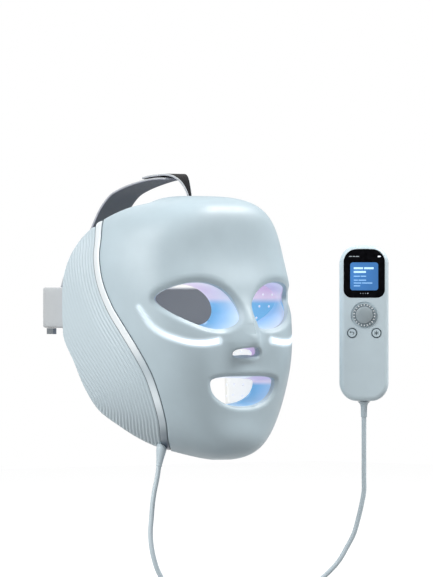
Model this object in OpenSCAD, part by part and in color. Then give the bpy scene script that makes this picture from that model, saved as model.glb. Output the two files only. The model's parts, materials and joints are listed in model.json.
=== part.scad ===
// Full-face light mask with ribbed sides, two head straps and a corded hand controller.
// Millimetres. +X is the wearer's left, the face looks along -Y and +Z is up.
// The origin is the middle of the rear opening, at the height of the eyes.

/* [Mask shell] */
// Half of the mask's widest width
half_w = 89; // [80:0.5:98]
// Top edge above the eye line
top_h = 89.6; // [80:0.1:98]
// Chin below the eye line
chin_h = 131.2; // [120:0.1:142]
// Bridge of the nose ahead of the rear rim
face_d = 130; // [118:1:142]
// How far the forehead lies behind the bridge
brow_back = 12.5; // [6:0.5:18]
// How far the chin lies behind the bridge
jaw_back = 4; // [0:0.5:10]
// Roundness of a level section, where 2 is an ellipse
plan_power = 3.5; // [3:0.1:4]
// Wall of the outer shells
shell_t = 2; // [1.6:0.1:2.4]
// Outer face to inner face at the front
front_thick = 6; // [6:0.1:7]
// Outer face to inner face at the sides
side_thick = 12.5; // [12.5:0.1:14]
// Wall of the inner liner
liner_t = 1.8; // [1.4:0.1:2]
// Height of the nose above the face
nose_proud = 14; // [8:0.5:18]

/* [Openings] */
// Width of an eye opening
eye_w = 67; // [58:0.5:69]
// Height of an eye opening
eye_h = 38.5; // [32:0.5:42]
// Middle of an eye opening from the centre plane
eye_x = 42.3; // [42:0.1:44]
// Width of the nostril opening
nostril_w = 31; // [24:0.5:34]
// Height of the nostril opening
nostril_h = 9.2; // [7:0.2:11]
// Nostril opening below the eye line
nostril_drop = 42; // [40:0.5:44]
// Width of the mouth opening
mouth_w = 73; // [60:0.5:76]
// Height of the mouth opening
mouth_h = 26.4; // [20:0.2:28]
// Mouth corners below the eye line
mouth_drop = 66.5; // [65:0.5:70]
// Wall of the lip round each opening
lip_t = 1.5; // [1.2:0.1:2]

/* [Trim and side panels] */
// Width of the trim band
trim_w = 7; // [5:0.5:9]
// Gap along each seam between the outer shells
seam_gap = 0.4; // [0.3:0.05:0.5]
// Ribs on a side panel
rib_count = 13; // [8:1:14]
// Height of a rib
rib_h = 0.7; // [0.3:0.1:1]

/* [Cooling and boards] */
// Diameter of a fan rotor
fan_d = 22; // [18:0.5:23]
// Diameter of a fan's axle pin
fan_pin_d = 1.6; // [1.2:0.1:2]
// Running clearance on a radius
run_gap = 0.05; // [0.02:0.01:0.1]
// Thickness of a light board
board_t = 0.6; // [0.4:0.1:0.7]
// Side of a light chip
chip_w = 2.4; // [2:0.1:3]
// Length of an under-eye cold plate
plate_l = 40; // [30:1:46]
// Height of an under-eye cold plate
plate_h = 9.5; // [8:0.5:10]

/* [Straps] */
// Width of the straps
strap_w = 34; // [28:1:38]
// Thickness of the back strap
strap_t = 3; // [2:0.2:4]
// Reach of the back strap behind the rim
loop_back = 87.5; // [78:0.5:96]
// Thickness of the top strap
top_strap_t = 1.8; // [1.2:0.1:2.2]

/* [Hand controller] */
// Width of the controller
hand_w = 41; // [38:0.5:46]
// Height of the controller
hand_h = 131; // [120:1:142]
// Depth of the controller
hand_d = 20; // [19:0.5:24]
// Corner radius of its outline
hand_r = 11; // [9:0.5:14]
// Rounding of its edges
hand_edge = 3; // [2:0.5:4]
// Wall of its housing
hand_wall = 2; // [1.6:0.1:2.4]
// Width of the display window
window_w = 34.4; // [30:0.2:35]
// Height of the display window
window_h = 40.8; // [36:0.2:42]
// Lit square of the display
screen_w = 23.4; // [20:0.2:25]
// Diameter of the dial's smooth cap
dial_cap_d = 14.4; // [12:0.2:16]
// Diameter of the dial's notched ring
dial_d = 19.4; // [18:0.2:22]
// Notches round the dial
dial_notches = 22; // [16:1:28]
// Diameter of the dial's shaft
dial_shaft_d = 5; // [4:0.1:6]
// Diameter of a button
button_d = 8.4; // [7.4:0.1:8.8]
// Distance between the two buttons
button_pitch = 20.4; // [19.6:0.2:22]
// Travel of the buttons and of the dial
press_travel = 0.4; // [0.2:0.05:0.5]

/* [Cord] */
// Diameter of the cord
cord_d = 4; // [3.6:0.1:4.2]

/* [Hidden] */
$fn = 48;
SHELL = "#b9cad2";
PANEL = "#c8d6dc";
SILVER = "#d6dce0";
LINER = "#b7b2e0";
GLOW = "#eef4ff";
BOARD = "#2f6f55";
METAL = "#9aa3a8";
DARK = "#2b2f33";
CLOTH = "#c5c9cc";
WEB = "#555a5e";
GLASS = "#0a0c10";

// Levels, gaps and small thicknesses that the sizes above don't set
eye_z = -1;
half_cols = 12;
lip_gap = 0.8;
lip_depth = front_thick - 0.2;
rim_gap = 0.7;
guide_t = 0.6;
guide_gap = 0.4;
chip_t = 0.25;
under_board = 0.8;
cooler_t = 0.6;
cooler_w = 9;
strap_z = -4;
loop_start = 5;
anchor_t = 1.6;
fan_y = -29;
fan_z = -8;
fan_t = 5.4;
fan_side = fan_d + 4;
view_turn = 42;
hand_at = [119, -147, -17];
nose_root = 0.134 * top_h;
nose_tip = -0.244 * chin_h;
nose_base = -0.4 * chin_h;
relief = 0.023 * face_d;

// Rear rim of the mask: share of the height from the eye line, share of the depth
RIM_LINE = [
    [-1, 0.77], [-0.98, 0.73], [-0.945, 0.635], [-0.92, 0.55], [-0.86, 0.446],
    [-0.78, 0.34], [-0.69, 0.223], [-0.55, 0.148], [-0.38, 0.085], [-0.19, 0],
    [0.13, 0], [0.32, 0.023], [0.5, 0.077], [0.65, 0.152], [0.79, 0.262],
    [0.89, 0.385], [0.94, 0.492], [1, 0.492]
];
// Middle of the trim band: share of the height, angle round from straight ahead
TRIM_LINE = [
    [-1, 26.4], [-0.94, 27.9], [-0.86, 30.9], [-0.74, 33], [-0.58, 36.2],
    [-0.44, 39.6], [-0.29, 44.8], [-0.17, 49.8], [-0.02, 56.6], [0.2, 62.2],
    [0.42, 65], [0.6, 65.6], [0.76, 68], [0.9, 70.5]
];
// Light guide under the left eye: sideways and upwards from the eye's middle, width
GUIDE_LINE = [
    [39.2, -2, 2], [37.4, -9, 2.8], [35.1, -16.5, 3.6], [31.6, -22, 4.2],
    [27, -26, 4.6], [19, -29.8, 5], [11.7, -31.5, 5.4], [3, -31.9, 5.7],
    [-5, -31.2, 5.9], [-12.8, -30, 6]
];
// Top strap and its tab, seen from the side: depth, height, half width
TOP_LINE = [
    [-86, 13.4, 17], [-82, 22, 17], [-75, 32, 17], [-64, 44, 17], [-50, 58.6, 17],
    [-43, 69, 17], [-35, 80, 17], [-23, 90.5, 17], [-11, 95.6, 17], [1, 99, 17],
    [13, 101.6, 16.5], [25, 103.6, 15.5], [36, 104.4, 14], [43, 104.2, 12]
];
TAB_LINE = [
    [19, 105, 17], [27, 106.4, 16.5], [35, 107.2, 14.5], [42, 107.6, 12.5],
    [48, 106.2, 10.5], [53, 102.8, 8.5], [56.6, 98, 6.5], [59, 93, 5], [60.4, 88.8, 4]
];
// Cord from the mask down to the coil, and from the coil up to the controller
MASK_ROUTE = [
    [-49, -77, -135], [-51, -77, -145], [-54, -77, -156], [-57, -78, -167],
    [-59, -79, -178], [-61, -80, -189], [-62, -82, -200], [-61, -84, -211],
    [-58, -86, -222], [-53, -89, -232], [-46, -92, -240], [-37, -95, -246],
    [-27, -98, -249], [-16, -100, -250], [-5, -101, -250], [6, -102, -250],
    [16, -102, -250], [26, -102, -250]
];
HAND_ROUTE = [
    [47, -107, -245], [57, -112, -245], [67, -117, -243], [77, -122, -239],
    [86, -127, -233], [94, -132, -225], [101, -136, -216], [107, -139, -205],
    [112, -142, -194], [115, -144, -182], [117, -146, -170], [119, -147, -158],
    [119, -147, -146], [119, -147, -134], [119, -147, -122], [119, -147, -109],
    [119, -147, -96]
];
coil_at = [30, -130];
coil_r = 28;
coil_step = 4.9;
coil_in = 2.25;
coil_low = -250;
coil_lift = 5;
coil_end = 28;

function power(b, e) = b <= 0 ? 0 : pow(b, e);
function bend(v, e) = sign(v) * power(abs(v), e);
function limit(v, lo, hi) = min(max(v, lo), hi);
function ease(v) = let (c = limit(v, 0, 1)) c * c * (3 - 2 * c);
function hill(v, w) = exp(-pow(v / w, 2));
function blend(a, b, t) = a + (b - a) * t;
function unit(v) = v / norm(v);
function sum(v) = v * [for (x = v) 1];

// Smooth curve through points that never swings past them
function lean(a, b, c) = (b[1] - a[1]) * (c[1] - b[1]) <= 0 ? 0 : (c[1] - a[1]) / (c[0] - a[0]);
function through(pts, x) =
    let (
        n = len(pts),
        k = max([for (i = [0:n - 2]) x >= pts[i][0] ? i : 0]),
        b = pts[k],
        c = pts[k + 1],
        h = c[0] - b[0],
        t = limit((x - b[0]) / h, 0, 1),
        m = lean(pts[max(k - 1, 0)], b, c) * h,
        q = lean(b, c, pts[min(k + 2, n - 1)]) * h
    )
    b[1] * (1 + 2 * t) * pow(1 - t, 2) + m * t * pow(1 - t, 2)
    + c[1] * t * t * (3 - 2 * t) + q * t * t * (t - 1);

// Outer surface of the mask
function wide(z) =
    z > 0 ? half_w * power(1 - power(z / top_h, 3), 1 / 3)
          : half_w * power(1 - power(-z / chin_h, 2.5), 1 / 2.5);
function deep(z) =
    z > 0 ? (face_d - brow_back * (1 - hill(z, top_h / 3))) * power(1 - power(z / top_h, 9), 1 / 9)
          : (face_d - jaw_back * pow(z / chin_h, 2)) * power(1 - power(-z / chin_h, 14), 1 / 14);
function nose(x, z) =
    let (s = limit((nose_root - z) / (nose_root - nose_tip), 0, 1))
    nose_proud * hill(x, half_w * (0.08 + 0.07 * s))
    * (z > nose_tip ? ease(s) : ease((z - nose_base) / (nose_tip - nose_base)));
function bump(x, z) =
    nose(x, z)
    + relief * hill(x - 0.56 * half_w, 0.27 * half_w) * hill(z + 0.34 * chin_h, 0.2 * chin_h)
    + relief * hill(x, 0.34 * half_w) * hill(z + 0.55 * chin_h, 0.12 * chin_h)
    + relief * hill(x, 0.3 * half_w) * hill(z + 0.855 * chin_h, 0.11 * chin_h)
    - 0.8 * relief * hill(x - eye_x, 0.36 * half_w) * hill(z - eye_z, 0.2 * top_h);
function skin(a, z) =
    let (
        s = abs(a),
        r = power(power(sin(s) / wide(z), plan_power) + power(cos(s) / deep(z), plan_power),
                  -1 / plan_power),
        x = r * sin(s)
    )
    [sign(a) * x, -r * cos(s) - bump(x, z), z];
function inside(x, y, z) =
    power(abs(x) / wide(z), plan_power)
    + power(max(-y - bump(abs(x), z), 0) / deep(z), plan_power);
function outward(q) =
    let (e = 0.02)
    unit([
        inside(q.x + e, q.y, q.z) - inside(q.x - e, q.y, q.z),
        inside(q.x, q.y + e, q.z) - inside(q.x, q.y - e, q.z),
        inside(q.x, q.y, q.z + e) - inside(q.x, q.y, q.z - e)
    ]);
function under(a, z, depth) = let (q = skin(a, z)) q - depth * outward(q);
function angle_at(x, z) =
    atan2(x, deep(z) * power(1 - power(x / wide(z), plan_power), 1 / plan_power));

// Rear rim, trim band and the edges between them
rim_pts = [for (p = RIM_LINE) [p[0] * (p[0] > 0 ? top_h : chin_h), p[1] * face_d]];
trim_pts = [for (p = TRIM_LINE) [p[0] * (p[0] > 0 ? top_h : chin_h), p[1]]];
function rim_y(z) = through(rim_pts, z);
function angle_back(d, z) =
    atan2(wide(z) * power(1 - power(d / deep(z), plan_power), 1 / plan_power), d);
function rim_angle(z) = angle_back(rim_y(z), z);
function trim_angle(z) = through(trim_pts, z);
function trim_turn(z, w) =
    let (
        a = trim_angle(z),
        across = skin(a + 0.5, z) - skin(a - 0.5, z),
        along = skin(trim_angle(z + 0.5), z + 0.5) - skin(trim_angle(z - 0.5), z - 0.5)
    )
    w * norm(along) / norm(cross(across, along));
function room(z, w, side, spare) = rim_angle(z) - trim_angle(z) - side * trim_turn(z, w) - spare;
function meet(w, side, spare, near, far, n) =
    let (m = (near + far) / 2)
    n == 0 ? near
    : room(m, w, side, spare) > 0 ? meet(w, side, spare, m, far, n - 1)
    : meet(w, side, spare, near, m, n - 1);
function upper_end(w, side, spare) = meet(w, side, spare, 0.5 * top_h, 0.9 * top_h, 12);
function lower_end(w, side, spare) = meet(w, side, spare, -0.8 * chin_h, -0.98 * chin_h, 12);
seam_w = trim_w / 2 + seam_gap;
shell_top = upper_end(seam_w, -1, 0);
shell_low = lower_end(seam_w, -1, 0);
function shell_angle(z) =
    z >= shell_top || z <= shell_low ? rim_angle(z)
    : min(rim_angle(z), trim_angle(z) - trim_turn(z, seam_w));

// Levels of the rows of points on the front, from the top edge to the chin
eye_up = eye_z + 0.46 * eye_h;
eye_low = eye_z - 0.42 * eye_h;
plate_x = 0.45 * half_w;
plate_z = blend(eye_low, 0.4 * nostril_h - nostril_drop, 0.54);
nose_up = -nostril_drop + 0.4 * nostril_h;
nose_low = -nostril_drop - 0.4 * nostril_h;
mouth_up = -mouth_drop + 0.2 * mouth_h;
mouth_low = -mouth_drop - 0.68 * mouth_h;
row_z = concat(
    [for (s = [0.9989, 0.997, 0.99, 0.972, 0.94, 0.89]) s * top_h],
    [for (s = [0, 0.22, 0.45, 0.72, 1]) blend(shell_top, eye_up, s)],
    [for (k = [1:6]) blend(eye_up, eye_low, k / 6)],
    [for (k = [1:-1:-1]) plate_z + k * plate_h / 2],
    [nose_up, -nostril_drop, nose_low, (nose_low + mouth_up) / 2],
    [for (k = [0:4]) blend(mouth_up, mouth_low, k / 4)],
    [for (s = [0.24, 0.48, 0.7, 0.88, 1]) blend(mouth_low, shell_low, s)],
    [for (s = [0.968, 0.986, 0.9955]) -s * chin_h]
);
last_row = len(row_z) - 1;
row_rim = [for (z = row_z) rim_angle(z)];
row_shell = [for (z = row_z) shell_angle(z)];

// Outlines of the openings, from above round to the side, grown by e
function hole_edge(kind, f, e) =
    kind == 0 ? let (w = eye_w / 2 + e, h = eye_h / 2 + e)
                [eye_x + w * cos(f) + 0.26 * h * sin(f),
                 eye_z + h * sin(f) * (1 - 0.22 * cos(f)) + 0.13 * h * cos(f)]
    : kind == 1 ? [(nostril_w / 2 + e) * bend(cos(f), 0.8),
                   (nostril_h / 2 + e) * bend(sin(f), 0.8) - nostril_drop]
    : kind == 3 ? [plate_x + plate_l / 2 * limit(1.42 * cos(f), -1, 1),
                   plate_z + plate_h / 2 * limit(1.42 * sin(f), -1, 1)]
    : [(mouth_w / 2 + e) * bend(cos(f), 0.9),
       (sin(f) > 0 ? (0.24 * mouth_h + e) * bend(sin(f), 0.6)
                   : (0.76 * mouth_h + e) * sin(f)) - mouth_drop];
// Each opening: kind (eye, nostrils, mouth, cold plate), first and last column, first and last row
SHELL_HOLES = [[0, 1, 8, 10, 16], [1, -2, 2, 20, 22], [2, -6, 6, 24, 28]];
LINER_HOLES = [[0, 1, 6, 10, 16], [1, -2, 2, 20, 22], [2, -4, 4, 24, 28], [3, 2, 5, 17, 19]];

// Share of a row's angle at a column, closer together near the nose
function share(holes, k) = pow(k / half_cols, len(holes) == len(LINER_HOLES) ? 1.3 : 1.15);
// A grid point as [angle, height], drawn to the edge of an opening nearby
function pull(h, e, holes, bounds, i, c) =
    let (
        row = limit(i, h[3], h[4]),
        col = limit(c, h[1], h[2]),
        w = max(0, 1 - max(abs(i - row), abs(c - col)) / 3),
        u = (2 * col - h[1] - h[2]) / (h[2] - h[1]),
        v = (h[3] + h[4] - 2 * row) / (h[4] - h[3]),
        f = abs(u) >= abs(v) ? (u > 0 ? 45 * v : 180 - 45 * v)
                             : (v > 0 ? 90 - 45 * u : 270 + 45 * u),
        q = hole_edge(h[0], f, e),
        start = [share(holes, col) * bounds[row], row_z[row]]
    )
    [w / (1.001 - w), w * ([angle_at(q.x, q.y), q.y] - start)];
function knot(holes, e, bounds, i, c) =
    let (
        k = abs(c),
        start = [share(holes, k) * bounds[i], row_z[i]],
        pulls = [for (h = holes) pull(h, e, holes, bounds, i, k)],
        total = sum([for (p = pulls) p[0]]),
        q = total == 0 ? start : start + sum([for (p = pulls) p[0] * p[1][0]]) / total * [1, 0]
                                       + sum([for (p = pulls) p[0] * p[1][1]]) / total * [0, 1]
    )
    [c == 0 ? 0 : sign(c) * q[0], q[1]];

// Depth of the liner's inner face under the outer surface
function liner_depth(a, z) =
    let (
        open = ease((-skin(a, z).y - rim_y(z)) / (1.1 * side_thick)),
        whole = blend(front_thick, side_thick, ease((abs(a) - 38) / 22))
    )
    blend(shell_t + rim_gap + liner_t, whole, open);
// One sheet of grid points, follow 0 for a plain depth or 1 to follow the liner
function sheet(holes, e, bounds, rows, cols, follow, depth) =
    [for (i = rows) [for (c = cols)
        let (k = knot(holes, e, bounds, i, c))
        under(k[0], k[1], depth + (follow == 0 ? 0 : liner_depth(k[0], k[1])))]];

function opened(holes, i, c) =
    let (k = c >= 0 ? c : -c - 1)
    len([for (h = holes) if (i >= h[3] && i < h[4] && k >= h[1] && k < h[2]) 1]) > 0;
function all_kept(rows, cols) = [for (i = [1:rows]) [for (j = [1:cols]) 1]];
function state(keep, i, j) =
    i < 0 || j < 0 || i >= len(keep) || j >= len(keep[0]) ? -1 : keep[i][j];
function strip(p, q, chain) =
    [for (k = [0:len(chain) - 2]) for (t = [0, 1])
        t == 0 ? [q + chain[k], p + chain[k], p + chain[k + 1]]
               : [q + chain[k], p + chain[k + 1], q + chain[k + 1]]];

// Solid between the first sheet, outside, and the second; further sheets line the openings
module curved(sheets, keep, order = [0, 1]) {
    rows = len(sheets[0]);
    cols = len(sheets[0][0]);
    size = rows * cols;
    ring = [for (k = order) k * size];
    top = sheets[0];
    faces = [for (i = [0:rows - 2]) for (j = [0:cols - 2]) if (keep[i][j] == 1)
        let (
            a = i * cols + j,
            b = a + 1,
            c = b + cols,
            d = a + cols,
            other = norm(top[i][j] - top[i + 1][j + 1]) > norm(top[i][j + 1] - top[i + 1][j]) + 0.001,
            halves = other ? [[a, b, d], [b, c, d]] : [[a, b, c], [a, c, d]]
        )
        each concat(
            halves,
            [for (t = halves) [t[0] + size, t[2] + size, t[1] + size]],
            [for (s = [[-1, 0, a, b], [0, 1, b, c], [1, 0, c, d], [0, -1, d, a]])
                let (n = state(keep, i + s[0], j + s[1]))
                if (n != 1) each strip(s[2], s[3], n == 0 ? ring : [0, size])]
        )];
    polyhedron(points = [for (s = sheets) for (r = s) each r], faces = faces);
}

// Solid through rings of points that all have the same count
module loft(rings) {
    n = len(rings[0]);
    last = (len(rings) - 1) * n;
    polyhedron(
        points = [for (r = rings) each r],
        faces = concat(
            [[for (k = [0:n - 1]) k], [for (k = [n - 1:-1:0]) last + k]],
            [for (i = [0:len(rings) - 2]) for (k = [0:n - 1])
                let (a = i * n + k, b = i * n + (k + 1) % n)
                each [[a, a + n, b + n], [a, b + n, b]]]
        )
    );
}

// Tube along a path whose first and last directions are given
function turned(v, a, b) = let (c = cross(a, b)) v + cross(c, v) + cross(c, cross(c, v)) / (1 + a * b);
function headings(path, first, last) =
    [for (i = [0:len(path) - 1])
        i == 0 ? unit(first) : i == len(path) - 1 ? unit(last)
        : unit(unit(path[i + 1] - path[i]) + unit(path[i] - path[i - 1]))];
module tube(path, first, last, d, sides) {
    t = headings(path, first, last);
    start = unit(cross(t[0], abs(t[0].z) > 0.9 ? [0, 1, 0] : [0, 0, 1]));
    side = [for (i = 0, n = start; i < len(path);
                 n = i + 1 < len(path) ? turned(n, t[i], t[i + 1]) : n, i = i + 1) n];
    loft([for (i = [0:len(path) - 1])
        [for (k = [0:sides - 1])
            path[i] + d / 2 * (cos(k * 360 / sides) * side[i]
                               + sin(k * 360 / sides) * cross(t[i], side[i]))]]);
}

// Flat band through [depth, height, half width] points in the centre plane
module band(line, t) {
    mid = [for (p = line) [0, -p[0], p[1]]];
    n = len(mid);
    loft([for (i = [0:n - 1])
        let (
            along = unit(mid[min(i + 1, n - 1)] - mid[max(i - 1, 0)]),
            up = cross([1, 0, 0], along) * t / 2,
            out = [line[i][2], 0, 0]
        )
        [mid[i] + up + out, mid[i] - up + out, mid[i] - up - out, mid[i] + up - out]]);
}

// Stands its children on the surface: x runs level, y upwards and z outwards
module on_skin(a, z, depth) {
    q = skin(a, z);
    n = outward(q);
    translate(q - depth * n)
        rotate([0, 90 - asin(n.z), atan2(n.y, n.x)])
            rotate([0, 0, 90])
                children();
}
module block(w, h, z0, z1) {
    translate([-w / 2, -h / 2, z0])
        cube([w, h, z1 - z0]);
}

// Front shell, with a lip round each opening that reaches back to the liner
module front_shell() {
    rows = [0:last_row];
    cols = [-half_cols:half_cols];
    color(SHELL)
        curved(
            [
                sheet(SHELL_HOLES, 0, row_shell, rows, cols, 0, 0),
                sheet(SHELL_HOLES, lip_t, row_shell, rows, cols, 0, shell_t),
                sheet(SHELL_HOLES, 0, row_shell, rows, cols, 0, lip_depth),
                sheet(SHELL_HOLES, lip_t, row_shell, rows, cols, 0, lip_depth)
            ],
            [for (i = [0:last_row - 1]) [for (c = [-half_cols:half_cols - 1])
                opened(SHELL_HOLES, i, c) ? 0 : 1]],
            [0, 2, 3, 1]
        );
}

// Ribbed side panel between the trim band and the rear rim
module side_panel() {
    steps = 14;
    top = upper_end(seam_w, 1, 2);
    low = lower_end(seam_w, 1, 1);
    levels = [for (k = [0:steps]) blend(top, low, k / steps)];
    edges = [for (z = levels) [trim_angle(z) + trim_turn(z, seam_w), rim_angle(z)]];
    lift = [for (k = [0:steps])
        rib_h * limit(norm(skin(edges[k][0], levels[k]) - skin(edges[k][1], levels[k]))
                      / rib_count / 3, 0, 1)];
    angles = [for (k = [0:steps]) [for (j = [0:2 * rib_count])
        blend(edges[k][0], edges[k][1], j / 2 / rib_count)]];
    curved(
        [
            [for (k = [0:steps]) [for (j = [0:2 * rib_count])
                under(angles[k][j], levels[k], j % 2 == 0 ? 0 : -lift[k])]],
            [for (k = [0:steps]) [for (j = [0:2 * rib_count])
                under(angles[k][j], levels[k], shell_t)]]
        ],
        all_kept(steps, 2 * rib_count)
    );
}
module side_panel_left() { color(PANEL) side_panel(); }
module side_panel_right() { color(PANEL) mirror([1, 0, 0]) side_panel(); }

// Crowned trim band between the front shell and a side panel
module trim_band() {
    steps = 28;
    top = upper_end(trim_w / 2, -1, 1);
    low = lower_end(trim_w / 2, -1, 1);
    levels = [for (k = [0:steps]) blend(top, low, k / steps)];
    across = [[0, 0.2], [0.2, -0.5], [0.8, -0.5], [1, 0.2]];
    angles = [for (z = levels)
        let (a = trim_angle(z), h = trim_turn(z, trim_w / 2), b = min(a + h, rim_angle(z)))
        [for (s = across) blend(a - h, b, s[0])]];
    curved(
        [
            [for (k = [0:steps]) [for (j = [0:3]) under(angles[k][j], levels[k], across[j][1])]],
            [for (k = [0:steps]) [for (j = [0:3]) under(angles[k][j], levels[k], shell_t - 0.5)]]
        ],
        all_kept(steps, 3)
    );
}
module trim_band_left() { color(SILVER) trim_band(); }
module trim_band_right() { color(SILVER) mirror([1, 0, 0]) trim_band(); }

// Inner liner, which the light shines through, open at the eyes, nostrils, mouth and plates
liner_e = lip_t + lip_gap;
module inner_liner() {
    rows = [0:last_row];
    cols = [-half_cols:half_cols];
    color(LINER)
        curved(
            [
                sheet(LINER_HOLES, liner_e, row_rim, rows, cols, 1, -liner_t),
                sheet(LINER_HOLES, liner_e, row_rim, rows, cols, 1, 0)
            ],
            [for (i = [0:last_row - 1]) [for (c = [-half_cols:half_cols - 1])
                opened(LINER_HOLES, i, c) ? 0 : 1]]
        );
}

// Light boards, each a patch of the liner's grid, and the chips on them
module light_board(rows, cols) {
    back = -liner_t - under_board;
    color(BOARD)
        curved(
            [
                sheet(LINER_HOLES, liner_e, row_rim, rows, cols, 1, back - board_t),
                sheet(LINER_HOLES, liner_e, row_rim, rows, cols, 1, back)
            ],
            all_kept(len([for (i = rows) i]) - 1, len([for (c = cols) c]) - 1)
        );
}
module light_board_brow() { light_board([3:9], [-7:7]); }
module light_board_left() { light_board([20:28], [6:8]); }
module light_board_right() { light_board([20:28], [-8:-6]); }
module light_board_chin() { light_board([29:32], [-5:5]); }
module chip(i, c) {
    k = knot(LINER_HOLES, liner_e, row_rim, i, c);
    on_skin(k[0], k[1], liner_depth(k[0], k[1]) - liner_t - under_board + 0.35)
        block(chip_w, chip_w, -chip_t, 0);
}
module light_chips() {
    color(GLOW) {
        for (i = [4, 6, 8]) {
            for (c = [-6:2:6]) {
                chip(i, c);
            }
        }
        for (i = [21, 23, 25, 27]) {
            chip(i, -7);
            chip(i, 7);
        }
        for (c = [-4:2:4]) {
            chip(30, c);
        }
    }
}

// Light guide that glows through the front shell under each eye
module light_guide() {
    ends = [for (p = GUIDE_LINE) [for (s = [1, -1])
        let (z = eye_z + p[1] + s * p[2] / 2)
        [angle_at(eye_x + p[0], z), z]]];
    curved(
        [for (depth = [shell_t + guide_gap, shell_t + guide_gap + guide_t])
            [for (s = [0, 1]) [for (k = [len(ends) - 1:-1:0])
                under(ends[k][s][0], ends[k][s][1], depth)]]],
        all_kept(1, len(ends) - 1)
    );
}
module light_guide_left() { color(GLOW) light_guide(); }
module light_guide_right() { color(GLOW) mirror([1, 0, 0]) light_guide(); }

// Cold plate in the liner under an eye, 0.4 clear of its opening all round
function plate_sheet(depth) =
    let (
        whole = sheet(LINER_HOLES, liner_e, row_rim, [17, 19], [2:5], 1, depth),
        back = 0.4
    )
    [for (i = [0, 1]) [for (j = [0:3])
        let (
            p = whole[i][j],
            side = whole[i][limit(j, 1, 2)] - p
        )
        p + (norm(side) > 0 ? back * unit(side) : [0, 0, 0]) + back * unit(whole[1 - i][j] - p)]];
module cold_plate() {
    curved([plate_sheet(-liner_t + 0.1), plate_sheet(0.6)], all_kept(1, 3));
}
module cold_plate_left() { color(METAL) cold_plate(); }
module cold_plate_right() { color(METAL) mirror([1, 0, 0]) cold_plate(); }

// Cooler chip against the plate, the strap that takes its heat aside, and the heat sink
cooler_a = angle_at(plate_x, plate_z);
module cooler_chip() {
    on_skin(cooler_a, plate_z, liner_depth(cooler_a, plate_z) - liner_t - 0.05)
        block(cooler_w, 0.85 * cooler_w, 0, cooler_t);
}
module cooler_chip_left() { color(DARK) cooler_chip(); }
module cooler_chip_right() { color(DARK) mirror([1, 0, 0]) cooler_chip(); }
sink_a = 59;
module heat_strap() {
    a = angle_at(plate_x + cooler_w / 2 + 1, plate_z);
    angles = [for (k = [0:10]) blend(a, sink_a, k / 10)];
    curved(
        [for (depth = [-liner_t - 0.9, -liner_t - 0.5])
            [for (z = [plate_z + 4, plate_z - 4]) [for (s = angles)
                under(s, z, liner_depth(s, z) + depth)]]],
        all_kept(1, 10)
    );
}
module heat_strap_left() { color(METAL) heat_strap(); }
module heat_strap_right() { color(METAL) mirror([1, 0, 0]) heat_strap(); }
module heat_sink() {
    z = plate_z + 10;
    on_skin(sink_a, z, liner_depth(sink_a, z) - liner_t - 1.5) {
        block(15, 28, 0, 1.2);
        for (k = [-2:2]) {
            translate([k * 3.4, 0, 0])
                block(0.8, 28, 1.1, 4.2);
        }
    }
}
module heat_sink_left() { color(METAL) heat_sink(); }
module heat_sink_right() { color(METAL) mirror([1, 0, 0]) heat_sink(); }

// Fan: a square frame with spokes and an axle pin, and the rotor that turns on the pin
fan_x = -side_thick + liner_t + half_w + 0.35;
module fan_frame() {
    translate([fan_x, fan_y, fan_z])
        rotate([0, 90, 0]) {
            difference() {
                translate([-fan_side / 2, -fan_side / 2, 0])
                    cube([fan_side, fan_side, fan_t]);
                translate([0, 0, -1])
                    cylinder(d = fan_d + 1, h = fan_t + 2);
            }
            for (a = [0, 120, 240]) {
                rotate([0, 0, a])
                    translate([2, -0.6, 0])
                        cube([fan_side / 2 - 3, 1.2, 1]);
            }
            cylinder(d = 7, h = 1);
            cylinder(d = fan_pin_d, h = fan_t - 0.4);
        }
}
module fan_frame_left() { color(DARK) fan_frame(); }
module fan_frame_right() { color(DARK) mirror([1, 0, 0]) fan_frame(); }
module fan_rotor() {
    translate([fan_x, fan_y, fan_z])
        rotate([0, 90, 0])
            difference() {
                union() {
                    translate([0, 0, 1.2])
                        cylinder(d = 9, h = 3.5);
                    for (k = [0:6]) {
                        rotate([0, 0, k * 360 / 7])
                            translate([(fan_d / 2 + 4) / 2, 0, 2.95])
                                rotate([55, 0, 0])
                                    cube([fan_d / 2 - 4.4, 0.8, 3.4], center = true);
                    }
                }
                cylinder(d = fan_pin_d + 2 * run_gap, h = fan_t + 1);
            }
}
module fan_rotor_left() { color(METAL) fan_rotor(); }
module fan_rotor_right() { color(METAL) mirror([1, 0, 0]) fan_rotor(); }

// Control board on the wearer's right, against the liner
module control_board() {
    a = -64;
    z = -0.4 * chin_h;
    color(BOARD)
        on_skin(a, z, liner_depth(a, z) - liner_t - 0.3) {
            block(17, 22, 0, 1);
            translate([-1, 3, 0])
                block(8, 8, 0.9, 2.2);
            translate([2, -7, 0])
                block(6, 4, 0.9, 2.8);
        }
}

// Tapered strain relief where the cord leaves the mask behind the trim
gland_way = unit([-0.2, 0, -1]);
gland_end = MASK_ROUTE[0];
gland_l = 22;
gland_z = -0.9 * chin_h;
module cord_gland() {
    a = -angle_back(-gland_end.y, gland_z);
    color(SHELL)
        difference() {
            translate(gland_end)
                rotate([0, atan2(-gland_way.x, -gland_way.z) , 0])
                    union() {
                        cylinder(d1 = cord_d + 0.8, d2 = 8.4, h = 14);
                        translate([0, 0, 13.99])
                            cylinder(d = 8.4, h = gland_l - 14);
                    }
            on_skin(a, gland_z, -0.55)
                block(80, 80, -60, 0);
        }
}

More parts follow.
